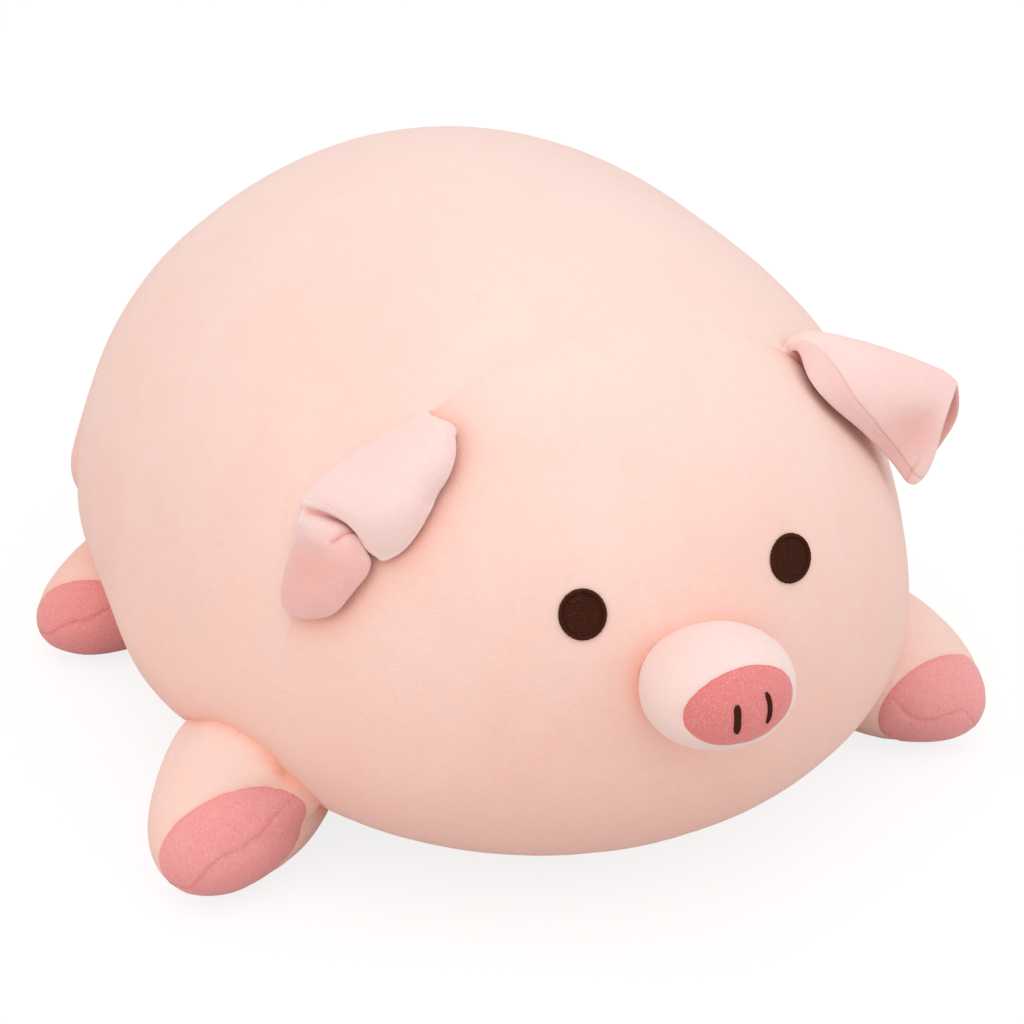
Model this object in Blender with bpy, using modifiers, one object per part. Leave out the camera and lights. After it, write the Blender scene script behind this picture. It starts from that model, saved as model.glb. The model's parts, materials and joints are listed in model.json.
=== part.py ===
"""A stuffed plush pig that lies flat on its belly.

The body is one egg-like form, widest behind the face. Four fabric covers are sewn round its filling.
The snout, the eyes, the ears, the four feet and the tail all take their places from that form.
Metres, +Z up, the pig looks along -Y, and the floor under its belly is z = 0.
"""

import math

import bmesh
import bpy
from mathutils import Matrix, Vector
from mathutils.bvhtree import BVHTree

# Body form, measured from its widest section. Powers of 2 are ellipses, higher ones are squarer.
body_front = 0.218
body_rear = 0.282
body_half_width = 0.192
waist_height = 0.0943
crown_rise = 0.204
belly_depth = 0.0988
front_lift = 0.022
rear_drop = 0.005
settle_softness = 0.012
plan_front_power = 2.06
plan_rear_power = 3.14
crown_front_power = 2.09
crown_rear_power = 2.40
belly_power = 2.6
section_power = 1.975
lift_power = 2.5
slope_step = 1.0

# Fabric, gaps and cuts
cover_thickness = 0.002
seam_gap = 0.0003
stuffing_gap = 0.0004
flat_depth = 0.0005
overrun = 0.05

# Seams between the body covers. The fabric dips where it is sewn.
face_seam_share = 0.50
rump_seam_share = 0.68
belly_seam_height = 0.024
seam_dip_width = 0.022
face_dip_share = 0.010
rump_dip_share = 0.024

# Snout: a short bun that tilts up. Its front panel is sewn in flush and carries two stitched nostrils.
snout_half_width = 0.0314
snout_half_height = 0.0264
snout_half_length = 0.0328
snout_stand_off = 0.0125
snout_height_share = 0.508
snout_tilt = 8.0
snout_power = 2.3
nose_width_share = 0.88
nose_height_share = 0.78
nostril_spacing = 0.0145
nostril_half_height = 0.0083
nostril_half_width = 0.0018
nostril_power = 5.0

# Eyes: discs of satin stitch
eye_spacing = 0.103
eye_height_share = 0.616
eye_lean = 0.0022
eye_radius = 0.0113
eye_power = 2.0
thread_thickness = 0.0012
thread_lift = 0.0007

# Ears: two panels each, sewn by their base along the face seam. The left one stands further off the head.
ear_panel_thickness = 0.0022
ear_reach = 0.050
ear_rise_shares = (0.0, 0.75, 1.0, 0.45)
right_ear_clearance = 0.0005
right_ear_base_angles = (61.0, 33.0)
right_ear_reach_shares = (0.36, 0.76, 0.84, 0.62, 0.46)
right_ear_stand = 0.014
right_ear_stand_shares = (0.75, 1.0, 1.0, 0.9, 0.9)
right_ear_droops = (0.0, 1.0, 5.0, 8.0, 9.0)
left_ear_clearance = 0.0002
left_ear_base_angles = (57.0, 42.0)
left_ear_reach_shares = (0.30, 0.72, 1.0, 1.12, 0.96)
left_ear_stand = 0.050
left_ear_stand_shares = (0.10, 0.40, 0.75, 0.95, 1.0)
left_ear_droops = (0.0, 0.0, 1.0, 4.0, 7.0)

# Feet: plump stubs that point outwards and a little down. Angles are in degrees.
front_foot_half_length = 0.067
front_foot_half_width = 0.0421
front_foot_half_height = 0.038
front_foot_turn = 49.0
front_foot_pitch = 17.0
front_foot_station_share = 0.29
front_foot_spread_share = 0.855
rear_foot_half_length = 0.066
rear_foot_half_width = 0.038
rear_foot_half_height = 0.033
rear_foot_turn = 80.0
rear_foot_pitch = 15.0
rear_foot_station_share = 0.57
rear_foot_spread_share = 0.757
foot_taper_share = 0.08
hoof_offset_share = 0.56
hoof_turn = 39.0

# Tail: a short curl of rolled fabric, thin where it is sewn on
tail_radius = 0.0048
tail_root_radius = 0.0012
tail_root_length = 0.004
tail_root_clearance = 0.0008
tail_tip_share = 0.5
tail_run = 0.011
tail_curl_radius = 0.0115
tail_curl_drift = 0.009
tail_curl_turns = 1.2
tail_curl_points = 20
tail_height_share = 0.40

# Mesh density: faces along each side of the cube that is blown up into a round form
body_faces = 11
foot_faces = 6
foot_lining_faces = 4
snout_faces = 6
snout_lining_faces = 4
patch_faces = 5
ring_sides = 28

peach = (0.93, 0.66, 0.58)
pale_peach = (0.95, 0.80, 0.76)
ear_peach = (0.93, 0.70, 0.66)
coral = (0.80, 0.33, 0.34)
thread_brown = (0.045, 0.018, 0.014)
filling_white = (0.90, 0.90, 0.88)


# Scene helpers


def clear_scene():
    for old in list(bpy.data.objects):
        bpy.data.objects.remove(old, do_unlink=True)


def new_collection(name):
    made = bpy.data.collections.new(name)
    bpy.context.scene.collection.children.link(made)
    return made


clear_scene()
pig = new_collection("plush_pig")
cutters = new_collection("cutters")
cutters.hide_render = True


def dye(obj, colour):
    """Gives a piece its own cloth material."""
    material = bpy.data.materials.new(obj.name)
    material.use_nodes = True
    shader = material.node_tree.nodes["Principled BSDF"]
    shader.inputs["Base Color"].default_value = (*colour, 1.0)
    shader.inputs["Roughness"].default_value = 0.9
    shader.inputs["Metallic"].default_value = 0.0
    obj.data.materials.append(material)


def mesh_from(bm, name):
    mesh = bpy.data.meshes.new(name)
    bm.to_mesh(mesh)
    bm.free()
    mesh.shade_smooth()
    return mesh


def add_piece(name, mesh, colour, parent=None):
    obj = bpy.data.objects.new(name, mesh)
    obj.parent = parent
    pig.objects.link(obj)
    dye(obj, colour)
    return obj


def add_cutter(name, mesh):
    obj = bpy.data.objects.new(name, mesh)
    obj.hide_render = True
    obj.display_type = "WIRE"
    cutters.objects.link(obj)
    return obj


def shape_with(obj, tool, operation):
    modifier = obj.modifiers.new(tool.name, "BOOLEAN")
    modifier.operation = operation
    modifier.solver = "EXACT"
    modifier.object = tool


def turn_outwards(bm):
    bmesh.ops.recalc_face_normals(bm, faces=bm.faces)
    if bm.calc_volume(signed=True) < 0.0:
        bmesh.ops.reverse_faces(bm, faces=bm.faces)


def round_form(faces, place):
    """A cube blown up to a sphere, whose points place() then moves."""
    bm = bmesh.new()
    bmesh.ops.create_cube(bm, size=1.0)
    bmesh.ops.subdivide_edges(bm, edges=bm.edges, cuts=faces - 1, use_grid_fill=True)
    for vertex in bm.verts:
        vertex.co = place(vertex.co.normalized())
    bmesh.ops.triangulate(bm, faces=bm.faces)
    turn_outwards(bm)
    return bm


def grow(bm, distance):
    """Moves the surface along its own normals, inwards where distance is negative."""
    bm.normal_update()
    moves = [vertex.normal * distance for vertex in bm.verts]
    for vertex, move in zip(bm.verts, moves):
        vertex.co += move
    return bm


def cut_flat(bm, height):
    """Takes off what lies under a height and closes the form there."""
    everything = [*bm.verts, *bm.edges, *bm.faces]
    cut = bmesh.ops.bisect_plane(
        bm, geom=everything, plane_co=(0.0, 0.0, height), plane_no=(0.0, 0.0, 1.0), clear_inner=True
    )
    rim = [item for item in cut["geom_cut"] if isinstance(item, bmesh.types.BMEdge)]
    bmesh.ops.holes_fill(bm, edges=rim, sides=0)
    turn_outwards(bm)
    return bm


def box_cutter(name, low, high, frame):
    """A box between two corners of a local frame."""
    bm = bmesh.new()
    bmesh.ops.create_cube(bm, size=1.0)
    for vertex in bm.verts:
        shares = [0.5 + side for side in vertex.co]
        corner = [a + (b - a) * share for a, b, share in zip(low, high, shares)]
        vertex.co = frame @ Vector(corner)
    turn_outwards(bm)
    return add_cutter(name, mesh_from(bm, name))


def frame_of(origin, x_axis, y_axis, z_axis):
    columns = Matrix((x_axis, y_axis, z_axis)).transposed()
    return Matrix.Translation(origin) @ columns.to_4x4()


def facets_of(bm):
    """The faces of a form, to set other pieces down on. It uses the form up."""
    bm.normal_update()
    facets = BVHTree.FromBMesh(bm)
    bm.free()
    return facets


def seat(point, outward, facets):
    """The spot on a form that lies straight in from a point."""
    return facets.ray_cast(point + outward * overrun, -outward)[0]


# Body form


def signed_power(value, power):
    return math.copysign(abs(value) ** power, value)


def bulge(station, power):
    """Half height of a superellipse at a station from -1 to 1."""
    return max(1.0 - abs(station) ** power, 0.0) ** (1.0 / power)


face_seam_y = -face_seam_share * body_front
rump_seam_y = rump_seam_share * body_rear
lowest_raw = waist_height - belly_depth
settle_base = 0.5 * (lowest_raw + math.hypot(lowest_raw, settle_softness)) + flat_depth


def settled(height):
    """The belly flattens as its filling settles on the floor."""
    return 0.5 * (height + math.hypot(height, settle_softness)) - settle_base


def girth(y):
    """One, less the dips that the two cross seams sew into the form."""
    face_dip = face_dip_share * math.exp(-(((y - face_seam_y) / seam_dip_width) ** 2))
    rump_dip = rump_dip_share * math.exp(-(((y - rump_seam_y) / seam_dip_width) ** 2))
    return 1.0 - face_dip - rump_dip


def section(station):
    """Half width, rise, depth and middle height of the body's section at a station."""
    is_front = station < 0.0
    y = station * (body_front if is_front else body_rear)
    plan_power = plan_front_power if is_front else plan_rear_power
    crown_power = crown_front_power if is_front else crown_rear_power
    lift = front_lift if is_front else -rear_drop
    drawn = girth(y)
    half = drawn * body_half_width * bulge(station, plan_power)
    rise = drawn * crown_rise * bulge(station, crown_power)
    depth = drawn * belly_depth * bulge(station, belly_power)
    middle = waist_height + lift * abs(station) ** lift_power
    return y, half, rise, depth, middle


def body_point(station, across, up):
    """A point of the body, where (across, up) is a unit direction in its section."""
    y, half, rise, depth, middle = section(station)
    x = half * signed_power(across, 2.0 / section_power)
    z = middle + (rise if up > 0.0 else depth) * signed_power(up, 2.0 / section_power)
    return Vector((x, y, settled(z)))


def body_from_sphere(unit):
    station = max(-1.0, min(1.0, unit.y))
    radius = math.hypot(unit.x, unit.z)
    if radius == 0.0:
        return body_point(station, 1.0, 0.0)
    return body_point(station, unit.x / radius, unit.z / radius)


def body_angle_point(y, degrees):
    station = y / (body_front if y < 0.0 else body_rear)
    angle = math.radians(degrees)
    return body_point(station, math.cos(angle), math.sin(angle))


def body_normal(y, degrees):
    """The way out of the body, from its slopes along and around it."""
    spot = body_angle_point(y, degrees)
    along = body_angle_point(y + seam_gap, degrees) - spot
    around = body_angle_point(y, degrees + slope_step) - spot
    return along.cross(around).normalized()


body_height = settled(waist_height + crown_rise)
world = Matrix.Identity(4)

# Body covers and filling


def body_form(faces, distance, floor):
    bm = grow(round_form(faces, body_from_sphere), distance)
    return bm if floor is None else cut_flat(bm, floor)


body_skin = facets_of(body_form(body_faces, 0.0, None))
lining_inset = -cover_thickness
filling_inset = -(cover_thickness + stuffing_gap)
body_lining = add_cutter(
    "body_lining", mesh_from(body_form(body_faces, lining_inset, -lining_inset), "body_lining")
)
body_clearance = add_cutter(
    "body_clearance", mesh_from(body_form(body_faces, seam_gap, None), "body_clearance")
)

half_gap = 0.5 * seam_gap
far_side = body_half_width + overrun
far_front = -body_front - overrun
far_rear = body_rear + overrun
far_top = body_height + overrun
seam_floor = belly_seam_height + half_gap
cover_regions = {
    "face_cover": ((far_front, seam_floor), (face_seam_y - half_gap, far_top)),
    "back_cover": ((face_seam_y + half_gap, seam_floor), (rump_seam_y - half_gap, far_top)),
    "rump_cover": ((rump_seam_y + half_gap, seam_floor), (far_rear, far_top)),
    "belly_cover": ((far_front, -overrun), (far_rear, belly_seam_height - half_gap)),
}
for name, (low, high) in cover_regions.items():
    cover = add_piece(name, mesh_from(body_form(body_faces, 0.0, 0.0), name), peach)
    region = box_cutter(name + "_region", (-far_side, *low), (far_side, *high), world)
    shape_with(cover, body_lining, "DIFFERENCE")
    shape_with(cover, region, "INTERSECT")

body_filling = body_form(body_faces, filling_inset, -filling_inset)
add_piece("body_stuffing", mesh_from(body_filling, "body_stuffing"), filling_white)

# Snout

tilt = math.radians(snout_tilt)
snout_axis = Vector((0.0, -math.cos(tilt), math.sin(tilt)))
snout_up = Vector((0.0, math.sin(tilt), math.cos(tilt)))
snout_side = Vector((1.0, 0.0, 0.0))
snout_centre = Vector((0.0, -body_front - snout_stand_off, snout_height_share * body_height))
snout_frame = frame_of(snout_centre, snout_side, snout_axis, snout_up)
snout_sizes = Vector((snout_half_width, snout_half_length, snout_half_height))


def snout_from_sphere(unit):
    shares = [signed_power(part, 2.0 / snout_power) for part in unit]
    return snout_frame @ Vector([size * share for size, share in zip(snout_sizes, shares)])


def nose_cutter(name, growth):
    """An elliptic cylinder along the snout, round the front panel."""
    bm = bmesh.new()
    bmesh.ops.create_cone(
        bm, cap_ends=True, segments=ring_sides, radius1=1.0, radius2=1.0, depth=2.0
    )
    wide = nose_width_share * snout_half_width + growth
    tall = nose_height_share * snout_half_height + growth
    for vertex in bm.verts:
        along = 0.5 * (vertex.co.z + 1.0) * (snout_half_length + overrun)
        vertex.co = snout_frame @ Vector((wide * vertex.co.x, along, tall * vertex.co.y))
    turn_outwards(bm)
    return add_cutter(name, mesh_from(bm, name))


def snout_form(faces, distance):
    return grow(round_form(faces, snout_from_sphere), distance)


snout_skin = facets_of(snout_form(snout_faces, 0.0))
snout_lining = add_cutter(
    "snout_lining", mesh_from(snout_form(snout_lining_faces, lining_inset), "snout_lining")
)
snout_cover = add_piece(
    "snout_cover", mesh_from(snout_form(snout_faces, 0.0), "snout_cover"), pale_peach
)
shape_with(snout_cover, snout_lining, "DIFFERENCE")
shape_with(snout_cover, body_clearance, "DIFFERENCE")
shape_with(snout_cover, nose_cutter("nose_hole", half_gap), "DIFFERENCE")
nose_panel = add_piece("nose_panel", mesh_from(snout_form(snout_faces, 0.0), "nose_panel"), coral)
shape_with(nose_panel, snout_lining, "DIFFERENCE")
shape_with(nose_panel, nose_cutter("nose_outline", -half_gap), "INTERSECT")
snout_stuffing = add_piece(
    "snout_stuffing",
    mesh_from(snout_form(snout_lining_faces, filling_inset), "snout_stuffing"),
    filling_white,
)
shape_with(snout_stuffing, body_clearance, "DIFFERENCE")

# Embroidery


def stitched_patch(name, centre, outward, upward, half_width, half_height, power, facets):
    """A thin pad of thread that follows the surface it is stitched to."""
    side = upward.cross(outward).normalized()
    above = outward.cross(side)
    bm = bmesh.new()
    bmesh.ops.create_grid(bm, x_segments=patch_faces, y_segments=patch_faces, size=1.0)
    for vertex in bm.verts:
        radius = max(abs(vertex.co.x), abs(vertex.co.y))
        angle = math.atan2(vertex.co.y, vertex.co.x)
        across = radius * signed_power(math.cos(angle), 2.0 / power)
        up = radius * signed_power(math.sin(angle), 2.0 / power)
        spot = centre + side * (across * half_width) + above * (up * half_height)
        vertex.co = seat(spot, outward, facets) + outward * thread_lift
    bm.normal_update()
    if sum(face.normal.dot(outward) for face in bm.faces) < 0.0:
        bmesh.ops.reverse_faces(bm, faces=bm.faces)
    patch = add_piece(name, mesh_from(bm, name), thread_brown)
    solidify = patch.modifiers.new("thread", "SOLIDIFY")
    solidify.thickness = thread_thickness
    solidify.offset = 1.0


forwards = Vector((0.0, -1.0, 0.0))
upwards = Vector((0.0, 0.0, 1.0))
eye_height = eye_height_share * body_height
for side, name in ((1.0, "left"), (-1.0, "right")):
    eye_spot = Vector((0.5 * side * eye_spacing, -body_front, eye_height + side * eye_lean))
    eye_centre = seat(eye_spot, forwards, body_skin)
    beside = seat(eye_spot + Vector((eye_radius, 0.0, 0.0)), forwards, body_skin)
    above = seat(eye_spot + upwards * eye_radius, forwards, body_skin)
    eye_out = (beside - eye_centre).cross(above - eye_centre).normalized()
    stitched_patch(
        "eye_" + name, eye_centre, eye_out, upwards, eye_radius, eye_radius, eye_power, body_skin
    )
    nostril = snout_frame @ Vector((0.5 * side * nostril_spacing, snout_half_length, 0.0))
    stitched_patch(
        "nostril_" + name,
        nostril,
        snout_axis,
        snout_up,
        nostril_half_width,
        nostril_half_height,
        nostril_power,
        snout_skin,
    )

# Ears


def ear_point(side, clearance, base_angles, reach_shares, stand, stand_shares, droops, column, row):
    """A point of an ear's middle sheet. Columns run down its base, and rows run out from it."""
    top, low = base_angles
    along_base = column / (len(reach_shares) - 1)
    outwards = row / (len(ear_rise_shares) - 1)
    y = face_seam_y - ear_reach * reach_shares[column] * outwards
    degrees = top + (low - top) * along_base - droops[column] * outwards
    lift = ear_panel_thickness + half_gap + clearance
    lift += stand * stand_shares[column] * ear_rise_shares[row]
    outward = body_normal(y, degrees)
    point = seat(body_angle_point(y, degrees), outward, body_skin) + outward * lift
    return Vector((side * point.x, point.y, point.z))


def add_ear(name, side, clearance, base_angles, reach_shares, stand, stand_shares, droops):
    """Two panels back to back, hung on an empty that lies along the base."""
    columns = len(reach_shares)
    rows = len(ear_rise_shares)
    shape = (side, clearance, base_angles, reach_shares, stand, stand_shares, droops)
    sheet = [[ear_point(*shape, column, row) for row in range(rows)] for column in range(columns)]
    middle = columns // 2
    hinge_axis = (sheet[middle + 1][0] - sheet[middle - 1][0]).normalized() * -side
    hinge_out = sheet[middle][0] - Vector((0.0, 0.0, waist_height))
    hinge_side = hinge_out.cross(hinge_axis).normalized()
    hinge = bpy.data.objects.new(name + "_hinge", None)
    hinge.matrix_world = frame_of(
        sheet[middle][0], hinge_axis, hinge_side, hinge_axis.cross(hinge_side)
    )
    pig.objects.link(hinge)
    to_hinge = hinge.matrix_world.inverted()
    for layer, direction in (("outer", 1.0), ("inner", -1.0)):
        bm = bmesh.new()
        bmesh.ops.create_grid(bm, x_segments=columns - 1, y_segments=rows - 1, size=1.0)
        for vertex in bm.verts:
            column = round(0.5 * (vertex.co.x + 1.0) * (columns - 1))
            row = round(0.5 * (vertex.co.y + 1.0) * (rows - 1))
            vertex.co = to_hinge @ sheet[column][row]
        bm.normal_update()
        outward = to_hinge.to_3x3() @ hinge_out
        if sum(face.normal.dot(outward) for face in bm.faces) < 0.0:
            bmesh.ops.reverse_faces(bm, faces=bm.faces)
        grow(bm, direction * half_gap)
        panel = add_piece(f"{name}_{layer}", mesh_from(bm, f"{name}_{layer}"), ear_peach, hinge)
        smooth = panel.modifiers.new("smooth", "SUBSURF")
        smooth.levels = 1
        smooth.render_levels = 1
        solidify = panel.modifiers.new("panel", "SOLIDIFY")
        solidify.thickness = ear_panel_thickness
        solidify.offset = direction


add_ear(
    "ear_left",
    1.0,
    left_ear_clearance,
    left_ear_base_angles,
    left_ear_reach_shares,
    left_ear_stand,
    left_ear_stand_shares,
    left_ear_droops,
)
add_ear(
    "ear_right",
    -1.0,
    right_ear_clearance,
    right_ear_base_angles,
    right_ear_reach_shares,
    right_ear_stand,
    right_ear_stand_shares,
    right_ear_droops,
)

# Feet


def add_foot(name, side, centre, half_length, half_width, half_height, turn, pitch):
    """A leg cover, the two halves of the hoof cap sewn to its end, and the filling."""
    turned, pitched = math.radians(turn), math.radians(pitch)
    level = Vector((side * math.sin(turned), -math.cos(turned), 0.0))
    axis = level * math.cos(pitched) - Vector((0.0, 0.0, math.sin(pitched)))
    across = Vector((side * math.cos(turned), math.sin(turned), 0.0))
    up = axis.cross(across) * side
    grounded = frame_of(Vector((*centre, 0.0)), axis, across, up)

    def stub(unit):
        slim = 1.0 - foot_taper_share * unit.x
        return Vector((half_length * unit.x, half_width * slim * unit.y, half_height * slim * unit.z))

    unset = round_form(foot_faces, lambda unit: grounded @ stub(unit))
    sole = min(vertex.co.z for vertex in unset.verts)
    unset.free()
    frame = Matrix.Translation((0.0, 0.0, -sole - flat_depth)) @ grounded

    def foot_form(faces, distance):
        return cut_flat(grow(round_form(faces, lambda unit: frame @ stub(unit)), distance), -distance)

    lining = add_cutter(name + "_lining", mesh_from(foot_form(foot_lining_faces, lining_inset), name))
    hoof_frame = frame @ Matrix.Rotation(-math.radians(hoof_turn), 4, "Z")
    hoof_start = hoof_offset_share * half_length
    far = half_length + overrun
    leg_end = hoof_start - half_gap
    hoof_root = hoof_start + half_gap
    regions = {
        "leg": ((-far, -far, -far), (leg_end, far, far)),
        "hoof_upper": ((hoof_root, -far, half_gap), (far, far, far)),
        "hoof_lower": ((hoof_root, -far, -far), (far, far, -half_gap)),
    }
    for piece, (low, high) in regions.items():
        full_name = f"{name}_{piece}"
        region = box_cutter(full_name + "_region", low, high, hoof_frame)
        colour = peach if piece == "leg" else coral
        cover = add_piece(full_name, mesh_from(foot_form(foot_faces, 0.0), full_name), colour)
        shape_with(cover, lining, "DIFFERENCE")
        shape_with(cover, region, "INTERSECT")
        shape_with(cover, body_clearance, "DIFFERENCE")
    stuffing = add_piece(
        name + "_stuffing", mesh_from(foot_form(foot_lining_faces, filling_inset), name), filling_white
    )
    shape_with(stuffing, body_clearance, "DIFFERENCE")


for side, side_name in ((1.0, "left"), (-1.0, "right")):
    add_foot(
        "front_" + side_name,
        side,
        (side * front_foot_spread_share * body_half_width, -front_foot_station_share * body_front),
        front_foot_half_length,
        front_foot_half_width,
        front_foot_half_height,
        front_foot_turn,
        front_foot_pitch,
    )
    add_foot(
        "rear_" + side_name,
        side,
        (side * rear_foot_spread_share * body_half_width, rear_foot_station_share * body_rear),
        rear_foot_half_length,
        rear_foot_half_width,
        rear_foot_half_height,
        rear_foot_turn,
        rear_foot_pitch,
    )

# Tail

tail_spot = Vector((0.0, body_rear, tail_height_share * body_height))
tail_seat = seat(tail_spot, -forwards, body_skin)
tail_hinge = bpy.data.objects.new("tail_hinge", None)
tail_hinge.matrix_world = Matrix.Translation(tail_seat - forwards * tail_root_clearance)
pig.objects.link(tail_hinge)

tail_path = [
    (Vector((0.0, 0.0, 0.0)), tail_root_radius),
    (Vector((0.0, tail_root_length, 0.0)), tail_radius),
]
for step in range(tail_curl_points):
    share = step / (tail_curl_points - 1)
    angle = 2.0 * math.pi * tail_curl_turns * share
    point = Vector(
        (
            tail_curl_radius * math.sin(angle),
            tail_run + tail_curl_drift * share,
            tail_curl_radius * (1.0 - math.cos(angle)),
        )
    )
    tail_path.append((point, tail_radius * (1.0 + (tail_tip_share - 1.0) * share)))

tail_curve = bpy.data.curves.new("tail", "CURVE")
tail_curve.dimensions = "3D"
tail_curve.bevel_depth = 1.0
tail_curve.bevel_resolution = 1
tail_curve.use_fill_caps = True
tail_spline = tail_curve.splines.new("POLY")
tail_spline.points.add(len(tail_path) - 1)
for spline_point, (point, radius) in zip(tail_spline.points, tail_path):
    spline_point.co = (*point, 1.0)
    spline_point.radius = radius
add_piece("tail", tail_curve, peach, tail_hinge)
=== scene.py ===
"""A plush pig lying on its belly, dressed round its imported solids. Metres, +Z up, it looks along -Y."""

import json
import math
from functools import partial

import bmesh
import bpy
import numpy as np
from mathutils import Matrix, Vector, noise
from mathutils.bvhtree import BVHTree


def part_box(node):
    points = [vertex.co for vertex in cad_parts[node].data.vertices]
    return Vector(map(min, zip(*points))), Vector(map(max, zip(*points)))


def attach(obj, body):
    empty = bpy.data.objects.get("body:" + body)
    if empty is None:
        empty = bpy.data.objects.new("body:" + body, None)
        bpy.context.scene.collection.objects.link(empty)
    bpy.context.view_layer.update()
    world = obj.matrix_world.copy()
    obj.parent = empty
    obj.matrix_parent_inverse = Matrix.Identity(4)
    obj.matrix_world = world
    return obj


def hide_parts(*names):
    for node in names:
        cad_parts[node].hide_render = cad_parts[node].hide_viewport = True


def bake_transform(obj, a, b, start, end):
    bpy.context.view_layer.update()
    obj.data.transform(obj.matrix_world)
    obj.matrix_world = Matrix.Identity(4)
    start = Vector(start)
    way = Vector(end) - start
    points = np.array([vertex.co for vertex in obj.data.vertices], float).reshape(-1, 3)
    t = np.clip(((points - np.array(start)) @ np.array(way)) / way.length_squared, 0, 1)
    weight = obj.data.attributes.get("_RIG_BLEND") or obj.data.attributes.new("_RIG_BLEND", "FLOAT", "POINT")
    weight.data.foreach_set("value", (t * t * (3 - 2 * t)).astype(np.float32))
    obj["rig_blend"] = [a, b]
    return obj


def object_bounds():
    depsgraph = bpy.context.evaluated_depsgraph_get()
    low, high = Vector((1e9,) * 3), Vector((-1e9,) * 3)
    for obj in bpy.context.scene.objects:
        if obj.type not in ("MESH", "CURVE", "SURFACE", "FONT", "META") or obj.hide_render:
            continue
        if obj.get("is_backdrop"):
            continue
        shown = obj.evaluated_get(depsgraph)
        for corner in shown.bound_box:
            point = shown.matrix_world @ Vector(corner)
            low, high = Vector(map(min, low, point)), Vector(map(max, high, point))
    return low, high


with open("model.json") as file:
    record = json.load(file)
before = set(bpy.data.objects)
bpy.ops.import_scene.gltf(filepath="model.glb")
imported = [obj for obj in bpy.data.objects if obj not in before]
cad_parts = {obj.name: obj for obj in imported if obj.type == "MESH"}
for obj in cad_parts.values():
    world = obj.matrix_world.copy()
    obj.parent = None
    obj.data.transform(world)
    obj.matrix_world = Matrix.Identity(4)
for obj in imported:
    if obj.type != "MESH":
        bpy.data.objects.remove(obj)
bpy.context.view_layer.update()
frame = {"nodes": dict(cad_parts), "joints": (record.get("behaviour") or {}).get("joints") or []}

scene = bpy.context.scene

# Camera, floor and light
# The camera stands before the pig's right side and looks down on it. The studio is white all round,
# with one broad soft lamp overhead, so the plush shows its own colour and casts a faint shadow.

view_target = Vector((0.0, 0.0, 0.13))
view_turn = math.radians(23.4)
view_rise = math.radians(28.0)
view_distance = 1.6
view_lens = 112.2
view_dip = math.radians(0.257)

towards_camera = Vector(
    (
        -math.sin(view_turn) * math.cos(view_rise),
        -math.cos(view_turn) * math.cos(view_rise),
        math.sin(view_rise),
    )
)
camera_data = bpy.data.cameras.new("camera")
camera_data.lens = view_lens
camera_data.sensor_width = 36.0
camera_data.clip_end = 50.0
camera = bpy.data.objects.new("camera", camera_data)
scene.collection.objects.link(camera)
camera.location = view_target + towards_camera * view_distance
camera.rotation_euler = (0.5 * math.pi - view_rise - view_dip, 0.0, -view_turn)
scene.camera = camera


def add_lamp(name, spot, target, size, watts, colour):
    """A square soft lamp at a spot, turned to a target."""
    data = bpy.data.lights.new(name, "AREA")
    data.shape = "SQUARE"
    data.size = size
    data.energy = watts
    data.color = colour
    lamp = bpy.data.objects.new(name, data)
    lamp.location = spot
    lamp.rotation_euler = (Vector(target) - Vector(spot)).to_track_quat("-Z", "Y").to_euler()
    scene.collection.objects.link(lamp)


for name, spot, target, size, watts, colour in (
    ("overhead", (-0.5, -0.9, 2.6), (0.0, 0.0, 0.1), 2.4, 20.5, (1.0, 0.985, 0.97)),
    ("left_fill", (-2.2, -0.8, 1.1), (0.0, 0.0, 0.12), 1.6, 8.0, (1.0, 0.95, 0.93)),
    ("right_fill", (2.1, -1.4, 1.2), (0.0, 0.0, 0.12), 1.8, 11.0, (0.85, 0.93, 1.0)),
):
    add_lamp(name, spot, target, size, watts, colour)


def add_node(tree, kind, inputs, **settings):
    """Adds a node, gives each input named a value or a socket's link, and gives back its outputs."""
    node = tree.nodes.new(kind)
    for name, value in settings.items():
        setattr(node, name, value)
    for key, value in inputs.items():
        if isinstance(value, bpy.types.NodeSocket):
            tree.links.new(value, node.inputs[key])
        else:
            node.inputs[key].default_value = value
    return node.outputs


def split_by_ray(tree, out_kind, lit, seen):
    """Lets one shader light the pig, and another be what the camera sees."""
    ray = add_node(tree, "ShaderNodeLightPath", {})["Is Camera Ray"]
    mix = add_node(tree, "ShaderNodeMixShader", {"Fac": ray, 1: lit, 2: seen})
    add_node(tree, out_kind, {"Surface": mix[0]})


white = (1.0, 1.0, 1.0, 1.0)
world = bpy.data.worlds.new("studio")
scene.world = world
world.use_nodes = True
sky = world.node_tree
sky.nodes.clear()
warm_white = {"Color": (1.0, 0.985, 0.975, 1.0), "Strength": 0.76}
sky_light = add_node(sky, "ShaderNodeBackground", warm_white)
sky_seen = add_node(sky, "ShaderNodeBackground", {"Color": white, "Strength": 1.0})
split_by_ray(sky, "ShaderNodeOutputWorld", sky_light[0], sky_seen[0])

scene.view_settings.view_transform = "Standard"

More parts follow.
